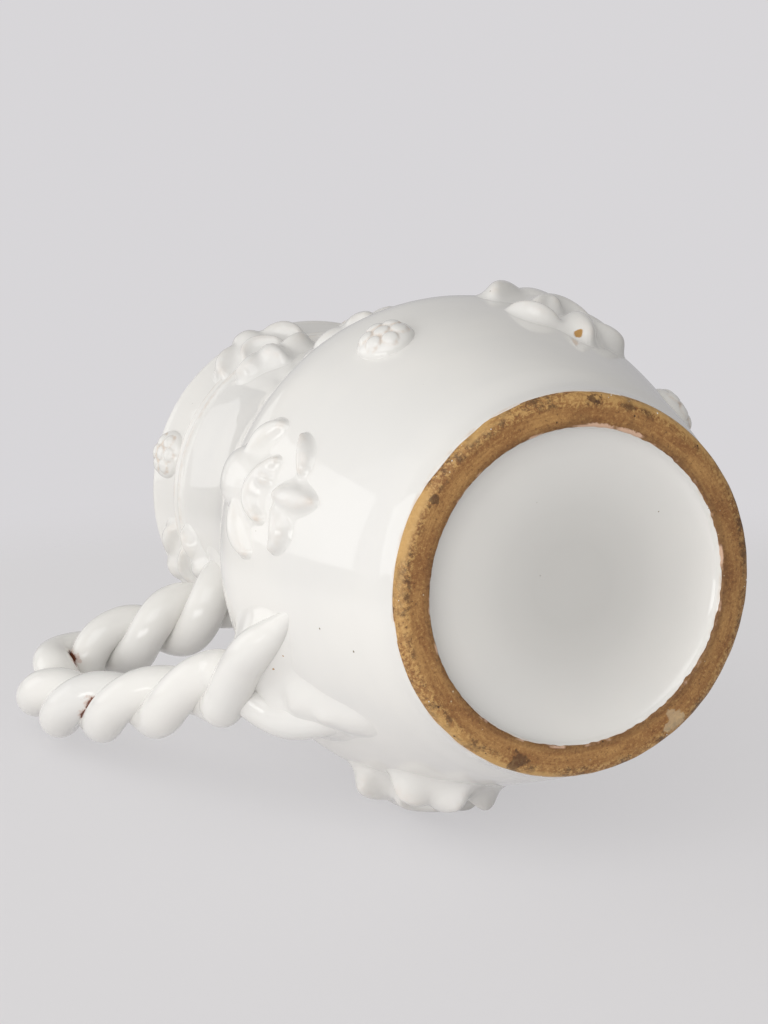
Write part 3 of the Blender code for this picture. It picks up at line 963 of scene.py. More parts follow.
def turned_tree(name: str, rings: int, segments: int, axis: float, finish: bpy.types.Material) -> GrowTree:
    """A tree that spins a closed outline round the jug's axis.

    Args:
        name: name of the node group.
        rings: points in the outline.
        segments: steps round the axis.
        axis: x of the axis in metres.
        finish: the material.

    Returns:
        The tree, to be grown on the outline's curve.
    """
    tree = GrowTree(name)
    bench = tree.bench
    count = tree.take("Outline points", "Int", rings)
    steps = tree.take("Steps round", "Int", segments)
    centre = tree.take("Axis", "Vector", (axis, 0.0, 0.0))
    coat = tree.take("Finish", "Material", finish)
    across = bench.math("ADD", count, 1)
    around = bench.math("ADD", steps, 1)
    grid = bench.make("GeometryNodeMeshGrid", {"Vertices X": across, "Vertices Y": around})
    index = bench.add("GeometryNodeInputIndex").outputs[0]
    ring = bench.math("MODULO", bench.math("FLOOR", bench.math("DIVIDE", index, around)), count)
    turn = bench.math("MODULO", bench.math("MODULO", index, around), steps)
    here = bench.add("GeometryNodeInputPosition").outputs[0]
    feeds = {"Geometry": tree.seed(), "Value": here, "Index": ring}
    pick = bench.make("GeometryNodeSampleIndex", feeds, data_type="FLOAT_VECTOR")
    angle = bench.math("MULTIPLY", bench.math("DIVIDE", turn, steps), math.tau)
    feeds = {"Vector": live(pick.outputs)[0], "Angle": angle}
    spun = bench.make("ShaderNodeVectorRotate", feeds, rotation_type="Z_AXIS")
    moved = bench.vector("ADD", spun.outputs[0], centre)
    shaped = bench.make("GeometryNodeSetPosition", {"Geometry": grid.outputs[0], "Position": moved})
    sewn = bench.make("GeometryNodeMergeByDistance", {"Geometry": shaped.outputs[0], "Distance": 0.00001})
    tree.close(sewn.outputs[0], coat)
    return tree


@dataclass
class Turning:
    """A mesh spun round the jug's axis, and the place of each vertex round it.

    Angles are in radians, radii and heights in mm.
    """

    mesh: bpy.types.Mesh
    wall: Wall
    angle: np.ndarray
    radius: np.ndarray
    level: np.ndarray

    @classmethod
    def spin(
        cls, name: str, outline: np.ndarray, segments: int, wall: Wall, finish: bpy.types.Material
    ) -> Turning:
        """Spins a closed outline.

        Args:
            name: the mesh's name.
            outline: radius and height of each point in mm.
            segments: steps round the axis.
            wall: the wall whose axis is used.
            finish: the material.

        Returns:
            The turned mesh.
        """
        points = np.c_[outline[:, 0], np.zeros(len(outline)), outline[:, 1]] * MM
        tree = turned_tree(f"turned {name}", len(points), segments, wall.axis * MM, finish)
        mesh = tree.grow(curve_seed(f"{name} outline", points, closed=True), name)
        x, y, level = corners(mesh).T / MM
        x = x - wall.axis
        return cls(mesh, wall, np.arctan2(y, x), np.hypot(x, y), level)

    def settle(self) -> bpy.types.Mesh:
        """Moves the vertices to their present places and cleans the mesh.

        Returns:
            The mesh.
        """
        spots = self.wall.turned(self.angle, self.radius, self.level)
        self.mesh.vertices.foreach_set("co", spots.ravel())
        tidy_mesh(self.mesh)
        return self.mesh


@dataclass
class Vessel:
    """The thrown body, from the glazed hollow of the base to the lip.

    The seat gives radius and height of the points where the body meets the foot ring.
    """

    wall: Wall
    finish: bpy.types.Material
    thickness: float = 5.5
    lip_thickness: float = 5.0
    lip_round: float = 2.0
    floor_top: float = 12.0
    floor_round: float = 9.0
    base: float = 5.0
    cove_from: float = 34.8
    cove_width: float = 10.0
    cove_drop: float = 3.0
    seat: tuple[Pair, ...] = (
        (45.1, 1.3), (45.3, 0.75), (45.8, 0.7), (46.6, 1.2), (49, 3.0), (52.5, 3.4), (54.2, 3.1), (54.9, 3.0),
    )
    inner_edge: float = 45.3
    outer_edge: float = 54.0
    ridges: Pair = (214.1, 217.9)
    ridge_half: float = 0.75
    ridge_rise: float = 0.75
    band_middle: float = 216.0
    band_half: float = 2.6
    bead_levels: tuple[float, ...] = (
        212.4, 212.9, 213.3, 213.8, 214.3, 214.9, 215.5, 216, 216.5, 217, 217.6, 218.2, 218.7, 219.1, 219.6,
    )
    waves: Waves = ((3, 1.0, 0.4), (7, 0.8, 2.0), (13, 0.6, 1.1), (29, 0.5, 0.0))
    segments: int = 240

    def outline(self) -> np.ndarray:
        """The closed half section, from the middle of the base round to the inside, in mm."""
        return np.array(self.underside() + self.outside() + self.lip() + self.inside())

    def underside(self) -> list[Pair]:
        """The hollow of the base, its cove and the seat of the foot ring.

        Returns:
            Radius and height of each point.
        """
        points = [(0.0, self.base), (12.0, self.base), (22.0, self.base - 0.02), (29.0, self.base - 0.08)]
        for turn in np.linspace(0.1, 1.0, 12) * math.pi / 2:
            drop = 0.2 + self.cove_drop * (1 - math.cos(turn))
            points.append((self.cove_from + self.cove_width * math.sin(turn), self.base - drop))
        return points + list(self.seat)

    def outside(self) -> list[Pair]:
        """The wall from the foot up to the lip, with finer steps over the bead.

        Returns:
            Radius and height of each point.
        """
        below = np.concatenate([np.linspace(3.4, 20, 13), np.linspace(22, 211, 78)])
        above = np.linspace(221, self.wall.height - self.lip_round, 7)
        levels = np.concatenate([below, self.bead_levels, above])
        return [(float(self.wall.radius(z) + self.bead(z)), float(z)) for z in levels]

    def lip(self) -> list[Pair]:
        """The rounded lip.

        Returns:
            Radius and height of each point.
        """
        half = self.lip_thickness / 2
        middle = float(self.wall.radius(self.wall.height)) - half
        level = self.wall.height - self.lip_round
        turns = np.linspace(0.0, math.pi, 11)[1:-1]
        return [(middle + half * math.cos(turn), level + self.lip_round * math.sin(turn)) for turn in turns]

    def inside(self) -> list[Pair]:
        """The hollow from the lip down to the middle of the floor.

        Returns:
            Radius and height of each point.
        """
        bend = self.floor_top + self.floor_round
        points = []
        for level in np.linspace(self.wall.height - 3.0, bend, 46):
            thinner = 0.5 * float(smoothstep(level, 200.0, 234.0))
            points.append((float(self.wall.radius(level)) - self.thickness + thinner, float(level)))
        corner = points[-1][0] - self.floor_round
        for turn in np.linspace(0.15, 1.0, 7) * math.pi / 2:
            reach = corner + self.floor_round * math.cos(turn)
            points.append((reach, bend - self.floor_round * math.sin(turn)))
        return points + [(reach, self.floor_top) for reach in (30.0, 12.0, 0.0)]

    def bead(self, height: float) -> float:
        """Rise of the turned band on the neck and its two ridges, in mm."""
        ridges = sum(hump(height, ridge, self.ridge_half) for ridge in self.ridges)
        return self.ridge_rise * (ridges + math.exp(-(((height - self.band_middle) / self.band_half) ** 4)))

    def build(self) -> list[bpy.types.Object]:
        """Spins the body, pulls the lip and loosens the glaze's edges.

        Returns:
            The piece.
        """
        turning = Turning.spin("body", self.outline(), self.segments, self.wall, self.finish)
        turning.radius = turning.radius + self.wall.lip(turning.angle, turning.level)
        radius, level = turning.radius, turning.level
        wave = ripple(self.waves, turning.angle)
        inner = hump(radius, self.inner_edge, 0.9) * (level < 2.0)
        outer = hump(level, 3.3, 1.0) * (radius > self.outer_edge) * (level < 7.0)
        turning.level = level + 0.16 * wave * inner + 0.28 * wave * outer
        self.dress(turning)
        return [new_piece("glazed_body", turning.settle(), self.finish, Slot.GLAZE, "body")]

    def dress(self, turning: Turning) -> None:
        """Marks where the glaze is thin, at ridges, lip and foot, and paints shade in the middle of the
        hollow under the base.

        Args:
            turning: the body.
        """
        radius, level = turning.radius, turning.level
        outside = radius > self.wall.radius(level) - 1.0
        thin = 0.55 * sum(hump(level, ridge, 0.5) for ridge in self.ridges) * outside
        thin = thin + 0.35 * smoothstep(level, self.wall.height - 1.4, self.wall.height)
        thin = thin + 0.8 * hump(level, 3.2, 0.7) * (radius > self.outer_edge)
        thin = thin + 0.9 * smoothstep(-level, -1.5, -0.9) * (radius < self.inner_edge + 0.9)
        store(turning.mesh, Layer.THIN, np.clip(thin, 0.0, 1.0))
        # Painted shade, strongest in the middle of the hollow under the base.
        store(turning.mesh, Layer.POOLED, smoothstep(-radius, -41.0, -12.0) * (level < 6.0))


@dataclass
class FootRing:
    """The raw clay ring that the jug stands on, and beads of glaze on its outer rounding.

    Sizes are in mm, and the crumbs' density is per square metre.
    """

    wall: Wall
    finish: bpy.types.Material
    crumb_finish: bpy.types.Material
    inner: float = 45.2
    flat_from: float = 45.9
    flat_to: float = 51.2
    outer: float = 55.0
    rise: float = 3.2
    top: float = 4.6
    segments: int = 360
    waves: Waves = ((5, 1.0, 1.0), (11, 0.7, 0.3), (23, 0.6, 0.0), (47, 0.5, 2.0))
    bites: Waves = ((17, 0.8, 0.5), (41, 1.0, 2.0), (73, 0.9, 1.0), (97, 0.8, 4.0))
    wear: float = 0.05
    bite: float = 0.035
    crumb_density: float = 9000.0
    crumb_sizes: Pair = (0.08, 0.24)
    crumbs_from: float = 52.6
    crumbs_below: float = 3.4
    crumb_thinness: float = 0.35

    def outline(self) -> np.ndarray:
        """The closed half section, in mm.

        Returns:
            Radius and height of each point.
        """
        points = [(self.inner, 1.6), (self.inner + 0.1, 0.5), (self.inner + 0.35, 0.12)]
        points += [(self.flat_from, 0.0)]
        points += [(reach, 0.0) for reach in np.linspace(self.flat_from + 0.8, self.flat_to, 8)]
        for turn in np.linspace(0.12, 1.0, 10) * math.pi / 2:
            reach = self.flat_to + (self.outer - self.flat_to) * math.sin(turn)
            points.append((reach, self.rise * (1 - math.cos(turn))))
        points += [(self.outer - 0.1, 3.9), (self.outer - 0.6, self.top)]
        points += [(self.inner + 1.6, self.top), (self.inner + 0.2, 3.2)]
        return np.array(points)

    def build(self) -> list[bpy.types.Object]:
        """Spins the ring, wears its edges and scatters glaze crumbs on it.

        Returns:
            The ring and its crumbs.
        """
        turning = Turning.spin("foot", self.outline(), self.segments, self.wall, self.finish)
        radius, level = turning.radius, turning.level
        worn = self.wear * (ripple(self.waves, turning.angle) + 2.8)
        sunk = worn * smoothstep(radius, 49.5, 53.0) * (level < 3.0)
        ragged = self.bite * ripple(self.bites, turning.angle) * smoothstep(-radius, -46.6, -45.9)
        turning.radius = radius - sunk + ragged
        turning.level = level + 0.4 * sunk
        ring = new_piece("raw_foot_ring", turning.settle(), self.finish, Slot.CLAY, "foot_ring")
        return [ring, self.dress(ring)]

    def crumb_tree(self) -> GrowTree:
        """The rule of the crumbs: small balls scattered low on the outer rounding.

        Returns:
            The tree, to be grown on a copy of the ring.
        """
        tree = GrowTree("glaze crumbs")
        bench = tree.bench
        density = tree.take("Crumbs per square metre", "Float", self.crumb_density)
        seed = tree.take("Seed", "Int", 7)
        smallest = tree.take("Smallest", "Float", self.crumb_sizes[0] * MM)
        largest = tree.take("Largest", "Float", self.crumb_sizes[1] * MM)
        start = tree.take("From radius", "Float", self.crumbs_from * MM)
        top = tree.take("Below height", "Float", self.crumbs_below * MM)
        centre = tree.take("Axis", "Vector", (self.wall.axis * MM, 0.0, 0.0))
        coat = tree.take("Finish", "Material", self.crumb_finish)
        here = bench.add("GeometryNodeInputPosition").outputs[0]
        flat = bench.vector("MULTIPLY", bench.vector("SUBTRACT", here, centre), (1.0, 1.0, 0.0))
        parts = bench.make("ShaderNodeSeparateXYZ", {"Vector": here})
        low = bench.math("LESS_THAN", parts.outputs[2], top)
        far = bench.math("GREATER_THAN", bench.vector("LENGTH", flat), start)
        chosen = bench.math("MULTIPLY", far, low)
        feeds = {"Mesh": tree.seed(), "Selection": chosen, "Density": density, "Seed": seed}
        dots = bench.make("GeometryNodeDistributePointsOnFaces", feeds)
        ball = bench.make("GeometryNodeMeshIcoSphere", {"Radius": 1.0, "Subdivisions": 2})
        feeds = {"Min": smallest, "Max": largest, "Seed": seed}
        size = bench.make("FunctionNodeRandomValue", feeds, data_type="FLOAT")
        drawn = live(size.outputs)[0]
        feeds = {"Points": dots.outputs["Points"], "Instance": ball.outputs["Mesh"], "Scale": drawn}
        tree.close(bench.make("GeometryNodeInstanceOnPoints", feeds).outputs[0], coat)
        return tree

    def dress(self, ring: bpy.types.Object) -> bpy.types.Object:
        """Scatters beads of glaze over the ring's outer rounding.

        Args:
            ring: the finished ring.

        Returns:
            The beads.
        """
        mesh = self.crumb_tree().grow(link_object("crumb ground", ring.data.copy()), "glaze crumbs")
        store(mesh, Layer.THIN, np.full(len(mesh.vertices), self.crumb_thinness))
        return new_piece("foot_glaze_crumbs", mesh, self.crumb_finish, Slot.GLAZE)


@dataclass(frozen=True)
class Leaf:
    """One leaf of a sprig, along a bent midline, in mm across and up the wall.

    The fade is the share of its height that it loses at its ends, and a larger flank slopes more softly.
    """

    root: Pair
    bend: Pair
    tip: Pair
    width: float
    height: float
    fade: float = 0.28
    flank: float = 0.5

    def rise(self, across: np.ndarray, up: np.ndarray) -> np.ndarray:
        """Height of the leaf over the wall.

        Args:
            across: distances round the wall.
            up: distances up the wall.

        Returns:
            Heights in mm, 0 outside the leaf.
        """
        steps = np.linspace(0.0, 1.0, 33)
        line = [
            (1 - steps) ** 2 * a + 2 * steps * (1 - steps) * b + steps**2 * c
            for a, b, c in zip(self.root, self.bend, self.tip)
        ]
        away = np.hypot(across[..., None] - line[0], up[..., None] - line[1])
        swell = 0.38 + 0.62 * np.sin(math.pi * steps**0.85) ** 0.75
        share = away / (self.width * swell)
        nearest = share.min(axis=-1)
        along = steps[share.argmin(axis=-1)]
        crown = self.height * (1.0 - self.fade + self.fade * np.sin(math.pi * along))
        return crown * np.clip(1.0 - nearest**2, 0.0, 1.0) ** self.flank


class Motif(Enum):
    """Leaf groups, in mm round the wall and up it."""

    BELLY = (
        Leaf((1.4, 10.5), (0.5, 19.0), (-0.3, 26.2), 9.2, 5.2),
        Leaf((7.0, 15.0), (15.0, 11.8), (18.6, 4.6), 4.1, 4.4),
        Leaf((-6.5, 13.6), (-16.0, 12.4), (-20.2, 4.2), 4.5, 4.3),
        Leaf((7.6, -14.8), (13.6, -14.0), (18.4, -7.4), 3.0, 4.0),
        Leaf((-5.6, -8.0), (-10.6, -15.8), (-17.0, -9.6), 4.3, 4.4),
        Leaf((-1.0, -7.0), (-0.6, -15.0), (0.4, -24.4), 4.5, 4.6),
        Leaf((8.4, -1.0), (-4.4, 12.6), (-9.5, -1.2), 3.8, 4.8),
        Leaf((2.0, -0.6), (2.5, 1.4), (2.8, 3.0), 2.8, 4.4),
    )
    NECK = (
        Leaf((0.0, 6.0), (-0.8, 10.8), (-1.4, 15.4), 6.0, 4.8),
        Leaf((4.6, 9.8), (11.4, 8.8), (14.2, 2.6), 4.2, 4.8),
        Leaf((-4.6, 9.6), (-11.8, 8.8), (-14.6, 2.4), 4.2, 4.8),
        Leaf((3.6, -8.2), (10.2, -10.4), (13.6, -4.2), 3.9, 4.6),
        Leaf((-3.2, -4.0), (-8.0, -11.4), (-12.4, -6.0), 4.3, 4.6),
        Leaf((-0.4, -4.2), (-0.2, -10.4), (0.8, -17.0), 4.7, 5.0),
        Leaf((6.2, -0.8), (-2.6, 9.0), (-6.9, -1.0), 3.2, 5.0),
    )

    def reach(self) -> Pair:
        """Half width and half height of the patch that holds the group, in mm."""
        return (27.0, 33.0) if self is Motif.BELLY else (20.0, 23.0)


@dataclass(frozen=True)
class ReliefPatch:
    """A raised patch on the wall whose border dives just under the glaze.

    Sizes are in mm. The glaze is thin on ridges, by an amount that doesn't depend on how soft they are.
    """

    wall: Wall
    angle: float
    height: float
    half_width: float
    half_height: float
    step: float = 0.55
    sunk: float = 0.45
    soft: float = PLAIN_SOFT
    faint: float = 0.02
    thinning: float = 1.6
    thin_from: float = 0.8
    thin_to: float = 2.4

    def grid(self) -> tuple[np.ndarray, np.ndarray]:
        """The patch's own coordinates.

        Returns:
            Distances round and up the wall, in mm.
        """
        across = np.arange(-self.half_width, self.half_width + self.step, self.step)
        up = np.arange(-self.half_height, self.half_height + self.step, self.step)
        return np.meshgrid(across, up, indexing="ij")

    def soften(self, values: np.ndarray, soft: float) -> np.ndarray:
        """Rounds a height field the way a coat of glaze does.

        Args:
            values: heights on the grid.
            soft: reach of the rounding in mm.

        Returns:
            Softened heights.
        """
        reach = int(math.ceil(2.5 * soft / self.step))
        steps = np.arange(-reach, reach + 1) * self.step
        weights = np.exp(-0.5 * (steps / soft) ** 2)
        weights /= weights.sum()
        for side in (0, 1):
            values = np.apply_along_axis(np.convolve, side, values, weights, "same")
        return values

    def build(self, name: str, rise: np.ndarray) -> bpy.types.Mesh:
        """Turns heights into a closed mesh on the wall.

        Args:
            name: the mesh's name.
            rise: heights on the grid, 0 where the wall is bare.

        Returns:
            The mesh.
        """
        across, up = self.grid()
        soft = self.soften(rise, self.soft)
        lift = soft - self.sunk
        spots = self.wall.drape(self.angle, self.height, (across, up, lift)).reshape(-1, 3)
        index = np.arange(across.size).reshape(across.shape)
        quads = np.stack([index[:-1, :-1], index[1:, :-1], index[1:, 1:], index[:-1, 1:]], -1).reshape(-1, 4)
        kept = quads[(lift.ravel()[quads] > self.faint - self.sunk).any(axis=1)]
        used = np.unique(kept)
        back = np.full(across.size, -1)
        back[used] = np.arange(len(used))
        mesh = bpy.data.meshes.new(name)
        mesh.from_pydata(spots[used].tolist(), [], back[kept].tolist())
        ridge = soft - self.soften(soft, self.soft)
        thinning = self.thinning * (PLAIN_SOFT / self.soft) ** 2
        thin = np.clip(ridge * thinning, 0.0, 1.0) * smoothstep(soft, self.thin_from, self.thin_to)
        store(mesh, Layer.THIN, thin.ravel()[used])
        close_back(mesh, self.wall)
        return mesh


@dataclass
class Sprig:
    """A press-moulded group of leaves on the wall.

    The angle is in degrees and the height in mm. Pooling is the reach in mm over which glaze fills the
    hollows, and softens the leaves with it. The mound is clay under the whole group, in mm.
    """

    wall: Wall
    finish: bpy.types.Material
    node: str
    angle: float
    height: float
    motif: Motif
    mirrored: bool
    size: float
    relief: float
    pooling: float = PLAIN_POOLING
    mound: float = 0.0
    mound_soft: float = 3.6
    leaf_edge: float = 0.3
    pool_gain: float = 1.05
    pool_loss: float = 0.48

    def build(self) -> list[bpy.types.Object]:
        """Raises the leaves on a mound of clay and merges them.

        Returns:
            The piece.
        """
        extra = self.pooling - PLAIN_POOLING
        across, up = (side * self.size + 2.0 * extra for side in self.motif.reach())
        soft = PLAIN_SOFT + 0.5 * extra
        patch = ReliefPatch(self.wall, math.radians(self.angle), self.height, across, up, soft=soft)
        across, up = patch.grid()
        side = -1.0 if self.mirrored else 1.0
        leaves = [replace(leaf, flank=leaf.flank + 0.16 * extra) for leaf in self.motif.value]
        rises = [leaf.rise(side * across / self.size, up / self.size) for leaf in leaves]
        rise = self.relief * np.max(rises, axis=0)
        bulk = patch.soften((rise > self.leaf_edge).astype(float), self.mound_soft)
        rise = rise + self.mound * smoothstep(bulk, 0.12, 0.62)
        pooled = np.clip(self.pool_gain * patch.soften(rise, self.pooling) - self.pool_loss, 0.0, None)
        mesh = patch.build(self.node, np.maximum(rise, pooled))
        return [new_piece(f"leaf_{self.node}", mesh, self.finish, Slot.GLAZE, self.node)]


@dataclass
class Rosette:
    """Clay pellets pressed in a ring round a middle one, on a small dome.

    The angle is in degrees, and all sizes are in mm.
    """

    wall: Wall
    finish: bpy.types.Material
    node: str
    angle: float
    height: float
    pellets: int = 6
    circle: float = 5.2
    pellet: float = 2.5
    dome: float = 9.1
    rise: float = 4.3
    swell: float = 0.85
    sunk: float = 0.45
    steps: int = 72

    def tree(self) -> GrowTree:
        """The rule of the rosette: one pellet folded round the circle, on a dome.

        Returns:
            The tree, which makes the flat rosette in mm.
        """
        tree = GrowTree(f"pellets {self.node}")
        bench = tree.bench
        count = tree.take("Pellets", "Int", self.pellets)
        circle = tree.take("Circle", "Float", self.circle)
        size = tree.take("Pellet", "Float", self.pellet)
        dome = tree.take("Dome", "Float", self.dome)
        rise = tree.take("Dome rise", "Float", self.rise)
        swell = tree.take("Pellet rise", "Float", self.swell)
        sunk = tree.take("Sunk", "Float", self.sunk)
        steps = tree.take("Grid points", "Int", self.steps)
        coat = tree.take("Finish", "Material", self.finish)
        side = bench.math("MULTIPLY", dome, 2.5)
        feeds = {"Size X": side, "Size Y": side, "Vertices X": steps, "Vertices Y": steps}
        grid = bench.make("GeometryNodeMeshGrid", feeds)
        here = bench.add("GeometryNodeInputPosition").outputs[0]
        parts = bench.make("ShaderNodeSeparateXYZ", {"Vector": here})
        reach = bench.vector("LENGTH", here)
        angle = bench.math("ADD", bench.math("ARCTAN2", parts.outputs[1], parts.outputs[0]), math.tau)
        sector = bench.math("DIVIDE", math.tau, count)
        fold = bench.math("SUBTRACT", bench.math("MODULO", angle, sector), bench.math("DIVIDE", sector, 2.0))
        away = bench.math("SUBTRACT", bench.math("MULTIPLY", reach, bench.math("COSINE", fold)), circle)
        beside = bench.math("MULTIPLY", reach, bench.math("SINE", fold))
        squares = [bench.math("MULTIPLY", length, length) for length in (away, beside)]
        ringed = bench.math("SQRT", bench.math("ADD", *squares))
        nearest = bench.math("DIVIDE", bench.math("MINIMUM", ringed, reach), size)
        ball = bench.round_top(bench.math("POWER", nearest, 2.0))
        cushion = bench.round_top(bench.math("POWER", bench.math("DIVIDE", reach, dome), 2.6))
        pad = bench.math("SUBTRACT", bench.math("MULTIPLY", cushion, rise), sunk)
        lifted = bench.make("ShaderNodeCombineXYZ", {"Z": bench.math("MULTIPLY_ADD", ball, swell, pad)})
        # A brown line round the foot of each pellet, stored as thin glaze: partly glaze thinned at the
        # pellet's edge, partly painted shade in the crease round it.
        ring = bench.math("MULTIPLY", bench.spread(nearest, 0.78, 0.98), bench.spread(nearest, 1.28, 1.05))
        patchy = bench.spread(bench.noise(here, 0.42, 1.0), 0.30, 0.52)
        line = bench.math("MULTIPLY", ring, patchy)
        feeds = {"Geometry": grid.outputs[0], "Name": Layer.THIN.value, "Value": line}
        tinted = bench.make("GeometryNodeStoreNamedAttribute", feeds, data_type="FLOAT", domain="POINT")
        outside = bench.math("GREATER_THAN", reach, bench.math("MULTIPLY", dome, 1.12))
        feeds = {"Geometry": tinted.outputs[0], "Selection": outside}
        trimmed = bench.make("GeometryNodeDeleteGeometry", feeds)
        feeds = {"Geometry": trimmed.outputs[0], "Offset": lifted.outputs[0]}
        tree.close(bench.make("GeometryNodeSetPosition", feeds).outputs[0], coat)
        return tree

    def build(self) -> list[bpy.types.Object]:
        """Grows the flat rosette and bends it onto the wall.

        Returns:
            The piece.
        """
        mesh = self.tree().grow(curve_seed("rosette seed", np.zeros((2, 3))), self.node)
        spots = self.wall.drape(math.radians(self.angle), self.height, tuple(corners(mesh).T))
        mesh.vertices.foreach_set("co", spots.ravel())
        close_back(mesh, self.wall)
        return [new_piece(f"pellets_{self.node}", mesh, self.finish, Slot.GLAZE, self.node)]


def rounded_line(knots: np.ndarray, count: int) -> np.ndarray:
    """A smooth line through points, at even steps.

    Args:
        knots: the points, one in each row.
        count: points in the result.

    Returns:
        The line's points.
    """
    padded = np.vstack([2 * knots[0] - knots[1], knots, 2 * knots[-1] - knots[-2]])
    dense = []
    for first in range(len(knots) - 1):
        a, b, c, d = padded[first : first + 4]
        for u in np.linspace(0.0, 1.0, 40, endpoint=False):
            bend = 2 * b + (c - a) * u + (2 * a - 5 * b + 4 * c - d) * u**2 + (3 * b - a - 3 * c + d) * u**3
            dense.append(bend / 2)
    dense = np.array(dense + [knots[-1]])
    spans = np.concatenate([[0.0], np.cumsum(np.linalg.norm(np.diff(dense, axis=0), axis=1))])
    even = np.linspace(0.0, spans[-1], count)
    return np.stack([np.interp(even, spans, dense[:, k]) for k in range(dense.shape[1])], -1)


@dataclass(frozen=True)
class TailRoute:
    """Where a strand runs out on the belly.

    Each stop is an angle in degrees, then a height, a lift off the wall and a radius in mm.
    """

    stops: Knots

    def on_wall(self, wall: Wall, height: float) -> np.ndarray:
        """The route as distances over the wall.

        Args:
            wall: the wall.
            height: where the distances up it start, in mm.

        Returns:
            Distance round from the handle, distance up, lift and radius along the route, in mm.
        """
        stops = np.array(self.stops, float)
        levels, lengths = wall.course()
        up = np.interp(stops[:, 1], levels, lengths) - np.interp(height, levels, lengths)
        across = np.radians(stops[:, 0]) * wall.radius(height)
        return rounded_line(np.c_[across, up, stops[:, 2:]], 40)

    def in_space(self, wall: Wall) -> np.ndarray:
        """The stops as points with radii, in metres in the row frame."""
        angle, height, lift, radius = np.array(self.stops, float).T
        return np.c_[wall.point(np.radians(angle), height, lift), radius * MM]


TAIL_A = TailRoute((
    (6.0, 77, 7.2, 7.0),
    (11.0, 67, 4.2, 6.6),
    (15.0, 58.5, 0.2, 4.7),
    (18.8, 52, -1.9, 2.6),
    (21.4, 47.8, -2.9, 1.4),
))
TAIL_B = TailRoute((
    (-6, 75, 4.2, 7.0),
    (-8.5, 65, 1.0, 6.8),
    (-10.2, 55, -2.4, 6.0),
    (-11.8, 46, -5.8, 4.6),
    (-12.8, 39, -8.0, 3.0),
))


